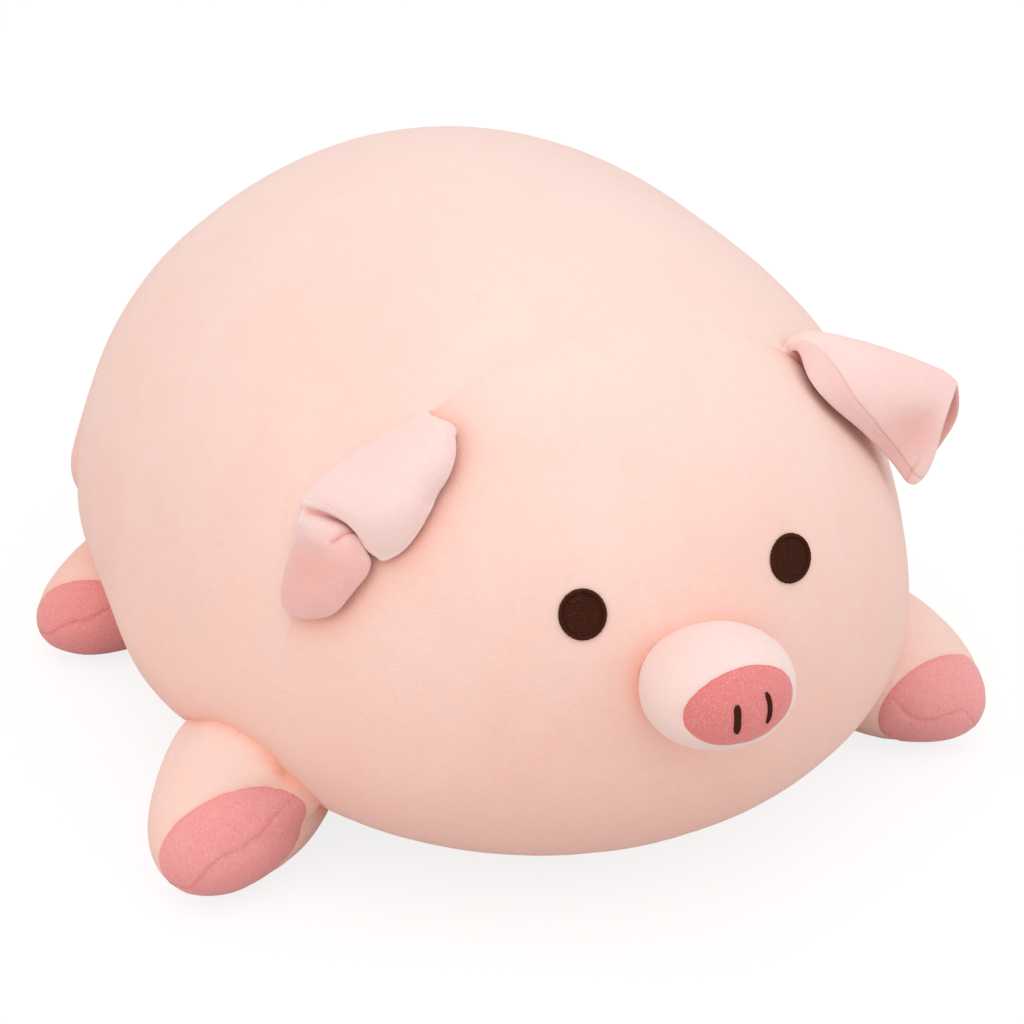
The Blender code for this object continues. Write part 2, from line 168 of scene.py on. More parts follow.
floor_half = 6.0
floor_mesh = bpy.data.meshes.new("studio_floor")
corners = [(x * floor_half, y * floor_half, 0.0) for x, y in ((-1, -1), (1, -1), (1, 1), (-1, 1))]
floor_mesh.from_pydata(corners, [], [(0, 1, 2, 3)])
floor = bpy.data.objects.new("studio_floor", floor_mesh)
scene.collection.objects.link(floor)
paper = bpy.data.materials.new("white_paper")
paper.use_nodes = True
sheet = paper.node_tree
sheet.nodes.clear()
paper_lit = add_node(sheet, "ShaderNodeBsdfDiffuse", {"Color": (0.70, 0.69, 0.68, 1.0)})
faint = add_node(sheet, "ShaderNodeBsdfDiffuse", {"Color": (0.20, 0.197, 0.195, 1.0)})
glow = add_node(sheet, "ShaderNodeEmission", {"Color": white, "Strength": 0.825})
paper_seen = add_node(sheet, "ShaderNodeAddShader", {0: faint[0], 1: glow[0]})
split_by_ray(sheet, "ShaderNodeOutputMaterial", paper_lit[0], paper_seen[0])
floor_mesh.materials.append(paper)
floor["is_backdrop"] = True


# Body covers
# Four panels of short-pile plush, cut to one egg-like form and sewn edge to edge over the filling.
# The face seam carries the ears, the rump seam draws the form in, and the belly seam runs low all round.

body_front = 0.218
body_rear = 0.282
body_half_width = 0.192
waist_height = 0.0943
crown_rise = 0.204
belly_depth = 0.0988
front_lift = 0.022
rear_drop = 0.005
settle_softness = 0.012
flat_depth = 0.0005
plan_front_power = 2.06
plan_rear_power = 3.14
crown_front_power = 2.09
crown_rear_power = 2.40
belly_power = 2.6
section_power = 1.975
lift_power = 2.5
face_seam_y = -0.50 * body_front
rump_seam_y = 0.68 * body_rear
belly_seam_height = 0.024
seam_dip_width = 0.022
rump_swell = 0.0150
rump_swell_height = 0.056
waist_swell = 0.0075
waist_swell_spot = (0.015, 0.066)
waist_swell_reach = (0.055, 0.042)
face_dip_share = 0.010
rump_dip_share = 0.024
cover_thickness = 0.0016

ring_step = 0.0042
column_count = 264
seam_steps = np.array([0.0009, 0.0018, 0.0029, 0.0042, 0.0058])
seam_steps = np.concatenate([-seam_steps[::-1], [0.0], seam_steps])
floor_clearance = 0.0003
gather_reach = 0.006

# How deep each seam draws the covers in, how much shade is painted into its valley, and how far from it that
# fades.
face_seam_pull = (0.00042, 0.0026)
rump_seam_pull = (0.0016, 0.0022)
belly_seam_pull = (0.0011, 0.0015)
face_seam_shade = (0.10, 0.0024)
rump_seam_shade = (0.60, 0.004)
belly_seam_shade = (0.5, 0.0018)
# Painted shade on the low sides that face sideways or down, and painted light paling the crown where it faces
# up.
low_side_shade = 0.42
low_side_height = 0.21
crown_light = 0.45
cover_gather = 0.00035
belly_gather = 0.0005
gather_size = 0.0075
body_waves = ((0.0008, 0.085, 7.0), (0.0003, 0.03, 9.0))

lowest_raw = waist_height - belly_depth
settle_base = 0.5 * (lowest_raw + math.hypot(lowest_raw, settle_softness)) + flat_depth


def signed_power(value, power):
    """A power that keeps the sign."""
    return np.sign(value) * np.abs(value) ** power


def bulge(station, power):
    """How wide a rounded form is at a station from -1 to 1, more boxy with a higher power."""
    return np.maximum(1.0 - np.abs(station) ** power, 0.0) ** (1.0 / power)


def body_point(y, angle):
    """Points of the body's skin at places along it and angles round it, 0 at the pig's left side."""
    is_front = y < 0.0
    station = np.clip(y / np.where(is_front, body_front, body_rear), -1.0, 1.0)
    face_dip = face_dip_share * np.exp(-(((y - face_seam_y) / seam_dip_width) ** 2))
    rump_dip = rump_dip_share * np.exp(-(((y - rump_seam_y) / seam_dip_width) ** 2))
    drawn = 1.0 - face_dip - rump_dip
    half = drawn * body_half_width * np.where(
        is_front, bulge(station, plan_front_power), bulge(station, plan_rear_power)
    )
    rise = drawn * crown_rise * np.where(
        is_front, bulge(station, crown_front_power), bulge(station, crown_rear_power)
    )
    depth = drawn * belly_depth * bulge(station, belly_power)
    middle = waist_height + np.where(is_front, front_lift, -rear_drop) * np.abs(station) ** lift_power
    across, up = np.cos(angle), np.sin(angle)
    x = half * signed_power(across, 2.0 / section_power)
    z = middle + np.where(up > 0.0, rise, depth) * signed_power(up, 2.0 / section_power)
    z = 0.5 * (z + np.hypot(z, settle_softness)) - settle_base
    return np.stack([x, y + 0.0 * x, z], axis=-1)


def ring_places():
    """Places along the body for its rings of points: even steps over the skin, closer at the seams."""
    places = []
    for length, power, way in ((body_front, plan_front_power, -1.0), (body_rear, plan_rear_power, 1.0)):
        turn = np.linspace(0.0, 0.5 * math.pi, 8001)
        along = length * np.sin(turn) ** (2.0 / power)
        out = body_half_width * np.cos(turn) ** (2.0 / power)
        walked = np.concatenate([[0.0], np.cumsum(np.hypot(np.diff(along), np.diff(out)))])
        count = int(walked[-1] / ring_step)
        places.append(way * np.interp(np.linspace(0.0, walked[-1], count, endpoint=False), walked, along))
    rings = np.concatenate([places[0][:0:-1], places[1]])
    for seam in (face_seam_y, rump_seam_y):
        rings = rings[np.abs(rings - seam) > seam_steps[-1] + 0.001]
        rings = np.concatenate([rings, seam + seam_steps])
    return np.sort(rings)


def bridge(bm, rows):
    """Fills in the faces between rings of points, each ring closed on itself."""
    count = len(rows[0])
    for low, high in zip(rows, rows[1:]):
        for i in range(count):
            j = (i + 1) % count
            bm.faces.new((low[i], low[j], high[j], high[i]))


def face_outwards(bm):
    """Turns a closed mesh's faces to the outside."""
    if bm.calc_volume(signed=True) < 0.0:
        bmesh.ops.reverse_faces(bm, faces=bm.faces)


def panel_of(bm, number):
    """A copy of one panel out of a whole skin."""
    panel = bm.copy()
    layer = panel.faces.layers.int["panel"]
    others = [face for face in panel.faces if face[layer] != number]
    bmesh.ops.delete(panel, geom=others, context="FACES")
    return panel


def skin_mesh():
    """The whole body's skin as one bmesh, its rings closed by a point at each end."""
    rings = ring_places()
    angles = np.linspace(-math.pi, math.pi, column_count, endpoint=False)
    grid = body_point(rings[:, None], angles[None, :])
    tips = [body_point(np.array(end), np.array(0.0)) for end in (-body_front, body_rear)]
    bm = bmesh.new()
    rows = [[bm.verts.new(point) for point in ring] for ring in grid]
    front_tip, rear_tip = [bm.verts.new(tip) for tip in tips]
    bridge(bm, rows)
    for i in range(column_count):
        j = (i + 1) % column_count
        bm.faces.new((rows[0][j], rows[0][i], front_tip))
        bm.faces.new((rows[-1][i], rows[-1][j], rear_tip))
    bm.normal_update()
    face_outwards(bm)
    return bm


def score(bm, spot, normal, steps, snap=1e-5):
    """Cuts lines into a mesh beside a plane, so a seam on that plane has points to sink."""
    for step in steps:
        everything = [*bm.verts, *bm.edges, *bm.faces]
        place = Vector(spot) + Vector(normal) * step
        bmesh.ops.bisect_plane(bm, geom=everything, plane_co=place, plane_no=normal, dist=snap)


def smooth_step(value):
    """Goes from 0 to 1 without a corner."""
    value = min(max(value, 0.0), 1.0)
    return value * value * (3.0 - 2.0 * value)


def wander(point, size, seed):
    """Smooth noise from -1 to 1 that changes over a distance of about size."""
    return noise.noise(Vector(point) / size + Vector((seed, 2.0 * seed, -seed)))


def fade(distance, reach):
    """What is left of 1 at a distance to either side of a line."""
    return math.exp(-abs(distance) / reach)


def beside(distance, amount, reach):
    """What a seam does at a distance from it: it draws fabric in to a sharp valley, or paints shade into that
    valley.
    """
    return amount * fade(distance, reach)


def apply_live(obj):
    """Turns an object's modifiers into plain mesh."""
    depsgraph = bpy.context.evaluated_depsgraph_get()
    mesh = bpy.data.meshes.new_from_object(obj.evaluated_get(depsgraph), depsgraph=depsgraph)
    obj.modifiers.clear()
    obj.data = mesh


def add_piece(name, mesh, material):
    """A new object with one material, in place."""
    if not isinstance(mesh, bpy.types.Mesh):
        bm, mesh = mesh, bpy.data.meshes.new(name)
        bm.to_mesh(mesh)
        bm.free()
    obj = bpy.data.objects.new(name, mesh)
    scene.collection.objects.link(obj)
    obj.data.materials.clear()
    obj.data.materials.append(material)
    obj.data.shade_smooth()
    return obj


rim_angle = math.radians(60.0)


def thicken(obj, thickness):
    """Gives a skin the thickness of its fabric, inwards, and closes its edges."""
    cloth = obj.modifiers.new("cloth", "SOLIDIFY")
    cloth.thickness = thickness
    cloth.offset = -1.0
    apply_live(obj)
    obj.data.set_sharp_from_angle(angle=rim_angle)


def add_sockets(tree, way, *sockets):
    """Gives a node tree inputs or outputs, each of a kind, a name and, if it needs one, a first value."""
    for kind, name, *value in sockets:
        socket = tree.interface.new_socket(name=name, in_out=way, socket_type="NodeSocket" + kind)
        if value:
            socket.default_value = value[0]


def math_node(tree, operation, first, second):
    """One sum on sockets or plain values."""
    return add_node(tree, "ShaderNodeMath", {0: first, 1: second}, operation=operation)[0]


def noise_node(tree, place, scale, detail, distortion=0.0):
    """Noise over a place, scale to the metre."""
    values = {"Vector": place, "Scale": scale, "Detail": detail, "Distortion": distortion}
    return add_node(tree, "ShaderNodeTexNoise", values)["Fac"]


def colour_mix(tree, share, first, second):
    """The first colour turned into the second by a share. Sockets 6, 7 and 2 are the node's colours."""
    return add_node(tree, "ShaderNodeMix", {0: share, 6: first, 7: second}, data_type="RGBA")[2]


def build_short_pile():
    """Short-pile plush: blotches, brushed nap and fibre tips. A tone input deepens the colour for painted
    shade and deeper own tone, or below 0 pales it for painted light and paler own tone.
    """
    tree = bpy.data.node_groups.new("short_pile", "ShaderNodeTree")
    calc = partial(math_node, tree)
    add_sockets(tree, "INPUT", ("Vector", "Place"), ("Color", "Colour"), ("Color", "Deep Colour"))
    add_sockets(tree, "INPUT", ("Color", "Tip Colour"), ("Float", "Crease", 0.0))
    add_sockets(tree, "INPUT", ("Float", "Blotch", 0.3), ("Float", "Speckle", 0.2))
    add_sockets(tree, "OUTPUT", ("Color", "Colour"), ("Float", "Roughness"), ("Float", "Height"))
    given = add_node(tree, "NodeGroupInput", {})

    blotches = noise_node(tree, given["Place"], 15.0, 4.0, 0.6)
    brushed = {"Vector": given["Place"], "Scale": (1.0, 0.45, 1.0), "Rotation": (0.3, 0.0, 0.5)}
    strokes = noise_node(tree, add_node(tree, "ShaderNodeMapping", brushed)[0], 85.0, 3.0, 1.2)
    fibres = noise_node(tree, given["Place"], 2600.0, 1.0)
    tufts = noise_node(tree, given["Place"], 1150.0, 1.0)

    soft = calc("SUBTRACT", blotches, 0.5)
    soft = calc("ADD", soft, calc("MULTIPLY", calc("SUBTRACT", strokes, 0.5), 0.6))
    soft = calc("ADD", calc("MULTIPLY", soft, given["Blotch"]), 0.10)
    soft.node.use_clamp = True
    dyed = colour_mix(tree, soft, given["Colour"], given["Deep Colour"])
    grain = calc("SUBTRACT", calc("ADD", tufts, fibres), 1.0)
    grain = calc("MULTIPLY", grain, given["Speckle"])
    # The first two mixes paint shade and light from the tone input; the last two are fibre tips and roots.
    for amount, share, colour in (
        (given["Crease"], 0.9, "Deep Colour"),
        (given["Crease"], -0.9, "Tip Colour"),
        (grain, 4.0, "Tip Colour"),
        (grain, -3.0, "Deep Colour"),
    ):
        tone = calc("MULTIPLY", amount, share)
        tone.node.use_clamp = True
        dyed = colour_mix(tree, tone, dyed, given[colour])

    rough = calc("ADD", calc("MULTIPLY", strokes, 0.14), 0.80)
    height = calc("ADD", calc("MULTIPLY", tufts, 0.65), calc("MULTIPLY", fibres, 0.35))
    height = calc("ADD", height, calc("MULTIPLY", strokes, 0.8))
    add_node(tree, "NodeGroupOutput", {"Colour": dyed, "Roughness": rough, "Height": height})
    return tree


short_pile = build_short_pile()


def fabric(name):
    """A new material, its node tree and shader, and the place on the object that its patterns follow."""
    material = bpy.data.materials.new(name)
    material.use_nodes = True
    tree = material.node_tree
    place = add_node(tree, "ShaderNodeTexCoord", {})["Object"]
    return material, tree, tree.nodes["Principled BSDF"], place


def wire(tree, shader, colour, rough, height, strength, distance):
    """Leads a fabric's colour, roughness and bump into its shader."""
    bump = {"Strength": strength, "Distance": distance, "Height": height}
    normal = add_node(tree, "ShaderNodeBump", bump)["Normal"]
    for name, socket in (("Base Color", colour), ("Roughness", rough), ("Normal", normal)):
        tree.links.new(socket, shader.inputs[name])


def plush(name, colour, deep, tip, blotch, speckle, sheen):
    """A dyed plush: the pile group drives colour, roughness and bump, with the shade and light painted on
    each piece, and the sheen is the pile's own.
    """
    material, tree, shader, place = fabric(name)
    painted_light_and_tone = add_node(tree, "ShaderNodeAttribute", {}, attribute_name="painted_light_and_tone")["Fac"]
    given = {"Place": place, "Crease": painted_light_and_tone, "Blotch": blotch, "Speckle": speckle}
    given |= {"Colour": (*colour, 1.0), "Deep Colour": (*deep, 1.0), "Tip Colour": (*tip, 1.0)}
    made = add_node(tree, "ShaderNodeGroup", given, node_tree=short_pile)
    wire(tree, shader, made["Colour"], made["Roughness"], made["Height"], 0.45, 0.0007)
    shader.inputs["Specular IOR Level"].default_value = 0.15
    shader.inputs["Sheen Weight"].default_value = sheen
    shader.inputs["Sheen Roughness"].default_value = 0.45
    shader.inputs["Sheen Tint"].default_value = (1.0, 0.93, 0.91, 1.0)
    return material


# The deep colour also serves for painted shade and the tip colour for painted light.
peach_plush = plush(
    "peach_plush",
    colour=(0.95, 0.675, 0.60),
    deep=(0.97, 0.41, 0.285),
    tip=(0.98, 0.83, 0.78),
    blotch=0.42,
    speckle=0.12,
    sheen=0.35,
)

bm = skin_mesh()
skin = BVHTree.FromBMesh(bm)
score(bm, (0.0, 0.0, belly_seam_height), (0.0, 0.0, 1.0), seam_steps * 0.8)
bm.normal_update()
painted_light_layer = bm.verts.layers.float.new("painted_light_and_tone")
panel_layer = bm.faces.layers.int.new("panel")
panel_names = ["belly_cover", "face_cover", "back_cover", "rump_cover"]
for face in bm.faces:
    middle = face.calc_center_median()
    if middle.z < belly_seam_height:
        face[panel_layer] = 0
    elif middle.y < face_seam_y:
        face[panel_layer] = 1
    else:
        face[panel_layer] = 2 if middle.y < rump_seam_y else 3
moves = []
for vert in bm.verts:
    spot = vert.co
    above_belly = spot.z - belly_seam_height
    face_off = spot.y - face_seam_y if above_belly > -0.001 else 1.0
    rump_off = spot.y - rump_seam_y if above_belly > -0.001 else 1.0
    gathered = wander(spot, gather_size, 3.0)
    face_seam_shows = 0.10 + 0.90 * smooth_step((spot.z - 0.10) / 0.15)
    inwards = face_seam_shows * beside(face_off, *face_seam_pull) + beside(rump_off, *rump_seam_pull)
    inwards += beside(above_belly, *belly_seam_pull)
    inwards += cover_gather * gathered * fade(min(abs(face_off), abs(rump_off)), gather_reach)
    inwards += belly_gather * gathered * fade(above_belly, gather_reach)
    inwards += sum(depth * wander(spot, size, seed) for depth, size, seed in body_waves)
    swollen = smooth_step(rump_off / 0.022) * (1.0 - smooth_step((rump_off - 0.034) / 0.045))
    swollen *= math.exp(-(((spot.z - rump_swell_height) / 0.042) ** 2)) * abs(vert.normal.x)
    inwards -= rump_swell * swollen
    along = (spot.y - waist_swell_spot[0]) / waist_swell_reach[0]
    above = (spot.z - waist_swell_spot[1]) / waist_swell_reach[1]
    inwards -= waist_swell * abs(vert.normal.x) * math.exp(-(along**2) - above**2)
    # Painted shade in the seam valleys and on the low sides, and painted light paling the skin that faces up.
    sideways = 1.0 - max(0.0, vert.normal.z)
    vert[painted_light_layer] = min(
        1.0,
        face_seam_shows * beside(face_off, *face_seam_shade)
        + beside(rump_off, *rump_seam_shade)
        + beside(above_belly, *belly_seam_shade)
        + low_side_shade * sideways * max(0.0, 1.0 - spot.z / low_side_height)
        - crown_light * max(0.0, vert.normal.z) ** 2,
    )
    moves.append(-vert.normal * inwards)
for vert, move in zip(bm.verts, moves):
    vert.co += move
    vert.co.z = max(vert.co.z, floor_clearance)

covers = {}
for number, name in enumerate(panel_names):
    covers[name] = add_piece(name + "_plush", panel_of(bm, number), peach_plush)
bm.free()


# Snout
# A short bun of paler plush, sewn to the face by its rim. A coral panel is sewn flush into its front, a
# little askew, and hides its own seam in the pile.

snout_half = Vector((0.0344, 0.0328, 0.0266))
snout_aside = -0.0014
snout_stand_off = 0.0125
snout_height_share = 0.508
snout_tilt = math.radians(8.0)
snout_power = 2.16
nose_half_share = (0.786, 0.68)
nose_centre_share = (-0.018, 0.01)
nose_slant = math.radians(12.0)
snout_columns = 132
nose_rings = 26
bun_rings = 46
bun_end = 2.15
nose_seam_pull = (0.0007, 0.0016)
# Painted shade in the nose seam's valley, and on the snout's right side, towards -x.
nose_seam_shade = (0.22, 0.0008)
near_side_shade = 0.22
lean_length = 0.024

body_height = float(body_point(np.array(0.0), np.array(0.5 * math.pi))[2])
snout_axis = Vector((0.0, -math.cos(snout_tilt), math.sin(snout_tilt)))
snout_up = Vector((0.0, math.sin(snout_tilt), math.cos(snout_tilt)))
snout_middle = Vector((snout_aside, -body_front - snout_stand_off, snout_height_share * body_height))
snout_frame = Matrix.Translation(snout_middle) @ Matrix(
    (Vector((1.0, 0.0, 0.0)), snout_axis, snout_up)
).transposed().to_4x4()

# Each plush's colour, its deep colour for blotches, fibre roots and painted shade, and its tip colour for
# fibre tips and painted light.
snout_dyes = (0.94, 0.752, 0.712), (0.90, 0.50, 0.42), (0.98, 0.88, 0.86)
coral_dyes = (0.90, 0.362, 0.357), (0.74, 0.175, 0.165), (0.98, 0.60, 0.59)
snout_plush = plush("snout_plush", *snout_dyes, blotch=0.25, speckle=0.12, sheen=0.35)
coral_plush = plush("coral_plush", *coral_dyes, blotch=0.40, speckle=0.30, sheen=0.30)


def snout_point(turn, lean):
    """A point of the bun: turn goes round its axis, lean goes from its front to its back."""
    unit = (math.sin(lean) * math.cos(turn), math.cos(lean), math.sin(lean) * math.sin(turn))
    shares = [math.copysign(abs(part) ** (2.0 / snout_power), part) for part in unit]
    return snout_frame @ Vector([size * share for size, share in zip(snout_half, shares)])


def nose_edge(turn):
    """The lean at which the bun passes under the nose panel's edge."""
    low, high = 0.0, 0.5 * math.pi
    for step in range(40):
        lean = 0.5 * (low + high)
        local = snout_frame.inverted() @ snout_point(turn, lean)
        right = local.x / snout_half.x - nose_centre_share[0]
        above = local.z / snout_half.z - nose_centre_share[1]
        along = right * math.cos(nose_slant) + above * math.sin(nose_slant)
        over = above * math.cos(nose_slant) - right * math.sin(nose_slant)
        reach = math.hypot(along / nose_half_share[0], over / nose_half_share[1])
        low, high = (lean, high) if reach < 1.0 else (low, lean)
    return 0.5 * (low + high)


turns = [2.0 * math.pi * i / snout_columns for i in range(snout_columns)]
edges = [nose_edge(turn) + 0.012 * wander((math.cos(turn), math.sin(turn), 0.0), 0.16, 5.0) for turn in turns]


def snout_skin(leans, closed_tip, tint):
    """Rings of the bun at the leans given for each turn, drawn in along the nose seam."""
    bm = bmesh.new()
    layer = bm.verts.layers.float.new("painted_light_and_tone")
    rows = []
    for ring in leans:
        row = []
        for turn, edge, lean in zip(turns, edges, ring):
            place = snout_point(turn, lean)
            off = (lean - edge) * lean_length
            out = (place - snout_middle).normalized()
            inwards = beside(off, *nose_seam_pull) + 0.0003 * wander(place, 0.02, 4.0)
            inwards += 0.0003 * wander(place, 0.006, 2.0) * fade(off, 0.004)
            vert = bm.verts.new(place - out * inwards)
            # Own base tone, plus painted shade in the nose seam's valley and on the snout's right side.
            vert[layer] = tint + beside(off, *nose_seam_shade) + near_side_shade * max(0.0, -out.x)
            row.append(vert)
        rows.append(row)
    bridge(bm, rows)
    if closed_tip:
        tip = bm.verts.new(snout_point(0.0, 0.0))
        tip[layer] = tint
        for i in range(snout_columns):
            bm.faces.new((rows[0][(i + 1) % snout_columns], rows[0][i], tip))
    bmesh.ops.recalc_face_normals(bm, faces=bm.faces)
    bm.normal_update()
    probe = next(iter(bm.faces))
    if probe.normal.dot(probe.calc_center_median() - snout_middle) < 0.0:
        bmesh.ops.reverse_faces(bm, faces=bm.faces)
    return bm


nose_leans = [
    [edge * (1.0 - (1.0 - (k + 1) / nose_rings) ** 1.7) for edge in edges] for k in range(nose_rings)
]
bun_leans = [
    [edge + (bun_end - edge) * (k / bun_rings) ** 1.35 for edge in edges] for k in range(bun_rings + 1)
]
nose = add_piece("nose_panel_plush", snout_skin(nose_leans, True, 0.72), coral_plush)
bun = add_piece("snout_cover_plush", snout_skin(bun_leans, False, 0.0), snout_plush)
for piece, node, slot in ((nose, "nose_panel", "coral_plush"), (bun, "snout_cover", "snout_plush")):
    thicken(piece, cover_thickness)
    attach(piece, "body")
    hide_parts(node)


# Feet
# Each foot is a plump stub: a leg cover sewn to the body, and a coral hoof cap of an upper and a lower
# half. The hoof sits askew on the leg, and a wavering seam joins its halves round the side. The front
# legs are pulled in where the stitching of their root ends, which draws two folds into them.

foot_kinds = {
    "front": {
        "half": (0.067, 0.0421, 0.038),
        "turn": 49.0,
        "pitch": 17.0,
        "centre": (0.855 * body_half_width, -0.29 * body_front),
        "hoof": ((0.886, -0.42, 0.19), 0.672),
        "split": ((0.0, 0.56, 0.83), 0.0),
        "waver": (0.085, -0.42, 0.68),
        "swell": 0.0100,
        "folds": (
            ((0.06, -0.69, 0.71), (0.13, -0.22, 0.96)),
            ((0.05, -0.71, 0.69), (0.10, -0.95, 0.28)),
        ),
    },
    "rear": {
        "half": (0.066, 0.038, 0.033),
        "turn": 80.0,
        "pitch": 15.0,
        "centre": (0.757 * body_half_width, 0.57 * body_rear),
        "hoof": ((0.88, -0.46, 0.0), 0.60),
        "split": ((0.0, 0.48, 0.88), 0.04),
        "waver": (0.03, -0.42, 0.50),
        "swell": 0.0015,
        # Deepens the tone of the rear feet all over.
        "dye": 0.22,
        "folds": (),
    },
}
foot_differences = {
    "front_left": {
        "half": (0.071, 0.0430, 0.038),
        "turn": 40.0,
        "centre": (0.855 * body_half_width, -0.29 * body_front - 0.007),
        "hoof": ((0.951, -0.308, 0.036), 0.644),
        "split": ((0.0, 0.25, 0.97), 0.05),
        "waver": (0.15, -0.42, 0.68),
        "swell": -0.0020,
        # Painted light: paler all over, as this far front foot stands in shade.
        "dye": -0.12,
    },
    "front_right": {
        "centre": (0.855 * body_half_width + 0.0010, -0.29 * body_front + 0.0025),
        "hoof": ((0.872, -0.464, 0.157), 0.674),
        "swell": 0.0345,
        "folds": (
            ((0.207, -0.659, 0.723), (0.246, -0.396, 0.885)),
            ((0.207, -0.659, 0.723), (0.277, -0.769, 0.576)),
        ),
    },
}
foot_taper = 0.08
foot_faces = 44
foot_steps = [-0.0032, -0.0018, -0.0008, 0.0, 0.0008, 0.0018, 0.0032]
foot_snap = 0.0002
sliver_length = 0.00012
tuck_depth = 0.004
hoof_seam_pull = (0.0009, 0.0020)
split_seam_pull = (0.0006, 0.0015)
root_pull = (0.0016, 0.0040)
# Painted shade along the hoof seams and at the root, where the leg is sewn to the body.
hoof_seam_shade = (0.30, 0.0010)
split_seam_shade = (0.25, 0.0009)
root_shade = (0.70, 0.0024)
hoof_gather = 0.0004
split_gather = 0.0007
root_wave = 0.0009
foot_wave = 0.0008
# Painted shade low on each foot near the floor, a tenth as much on the hoof.
floor_shade = 0.26
floor_shade_height = 0.05
hoof_floor_share = 0.1
sole_softness = 0.0022
sole_clearance = 0.0002
pinch_pull = (0.0012, 0.0045)
# Painted shade at the pinch where the root's stitching ends.
pinch_shade = (0.30, 0.0045)
fold_depth = 0.0019
# Painted shade in the folds.
fold_shade = 0.55
fold_reach = 0.0021
hoof_seams = {}


def above_skin(place):
    """How far a place is off the body's skin, negative inside."""
    near, normal, index, distance = skin.find_nearest(place)
    return math.copysign(distance, (place - near).dot(normal))


round_blank = bmesh.new()
bmesh.ops.create_cube(round_blank, size=1.0)
bmesh.ops.subdivide_edges(round_blank, edges=round_blank.edges, cuts=foot_faces - 1, use_grid_fill=True)
for vert in round_blank.verts:
    vert.co = vert.co.normalized()


def foot_stub(kind, unit):
    """Turns a direction into a point of the foot's own form."""
    length, width, height = kind["half"]
    slim = 1.0 - foot_taper * unit.x
    return Vector((length * unit.x, width * slim * unit.y, height * slim * unit.z))


def foot_share(kind, spot):
    """The way back: a point of the foot as shares of its half sizes."""
    length, width, height = kind["half"]
    slim = 1.0 - foot_taper * spot.x / length
    return Vector((spot.x / length, spot.y / (width * slim), spot.z / (height * slim)))


def foot_frame(kind, side):
    """The foot's own frame: x along it, y across it towards the rear, z up out of it."""
    turned, pitched = math.radians(kind["turn"]), math.radians(kind["pitch"])
    level = Vector((side * math.sin(turned), -math.cos(turned), 0.0))
    axis = level * math.cos(pitched) - Vector((0.0, 0.0, math.sin(pitched)))
    across = Vector((side * math.cos(turned), math.sin(turned), 0.0))
    up = axis.cross(across) * side
    x, y = kind["centre"]
    grounded = Matrix.Translation((side * x, y, 0.0)) @ Matrix((axis, across, up)).transposed().to_4x4()
    sole = min((grounded @ foot_stub(kind, vert.co)).z for vert in round_blank.verts)
    return Matrix.Translation((0.0, 0.0, -sole - flat_depth)) @ grounded


def plane_in_metres(kind, plane):
    """A seam plane given in shares of the foot's half sizes, as a point and a normal in metres."""
    (a, b, c), offset = plane
    length, width, height = kind["half"]
    normal = Vector((a / length, b / width, c / height))
    spot = normal * (offset / normal.length_squared)
    return spot, normal.normalized()


def off_fold(spot, start, end):
    """How far a point is from a fold's line, and how far along the fold the nearest place is."""
    way = end - start
    along = min(max((spot - start).dot(way) / way.length_squared, 0.0), 1.0)
    return (spot - start - way * along).length, along


def line_between(bm, layer, first, second):
    """The points and normals along the boundary of two panels, in the order they follow each other."""
    links = {}
    for edge in bm.edges:
        if {face[layer] for face in edge.link_faces} == {first, second}:
            a, b = edge.verts
            links.setdefault(a, []).append(b)
            links.setdefault(b, []).append(a)
    ends = [vert for vert, near in links.items() if len(near) == 1]
    if not ends:
        return []
    vert, seen, line = min(ends, key=lambda v: (v.co.x, v.co.y)), set(), []
    while vert is not None:
        seen.add(vert)
        line.append((vert.co.copy(), vert.normal.copy()))
        vert = next((near for near in links[vert] if near not in seen), None)
    return line


def cut_foot(kind):
    """A foot's plain form with its seams scored, and how far each point is from the two seams."""
    bm = round_blank.copy()
    for vert in bm.verts:
        vert.co = foot_stub(kind, vert.co)
    hoof_spot, hoof_normal = plane_in_metres(kind, kind["hoof"])
    split_spot, split_normal = plane_in_metres(kind, kind["split"])
    score(bm, hoof_spot, hoof_normal, foot_steps, foot_snap)
    score(bm, split_spot, split_normal, foot_steps, foot_snap)
    bmesh.ops.remove_doubles(bm, verts=bm.verts, dist=sliver_length)
    bm.verts.layers.float.new("painted_light_and_tone")
    panel = bm.faces.layers.int.new("panel")
    for face in bm.faces:
        middle = face.calc_center_median()
        if (middle - hoof_spot).dot(hoof_normal) > 0.0:
            face[panel] = 1 if (middle - split_spot).dot(split_normal) > 0.0 else 2
    offsets = [
        ((vert.co - hoof_spot).dot(hoof_normal), (vert.co - split_spot).dot(split_normal))
        for vert in bm.verts
    ]
    depth, middle, length = kind["waver"]
    for vert, (hoof_off, split_off) in zip(bm.verts, offsets):
        share = foot_share(kind, vert.co)
        shift = depth * math.cos(2.0 * math.pi * (share.y - middle) / length) - 0.4 * depth
        share.z += shift * math.exp(-((split_off / 0.012) ** 2)) * smooth_step(hoof_off / 0.010)
        vert.co = foot_stub(kind, share.normalized())
    bm.normal_update()
    return bm, offsets


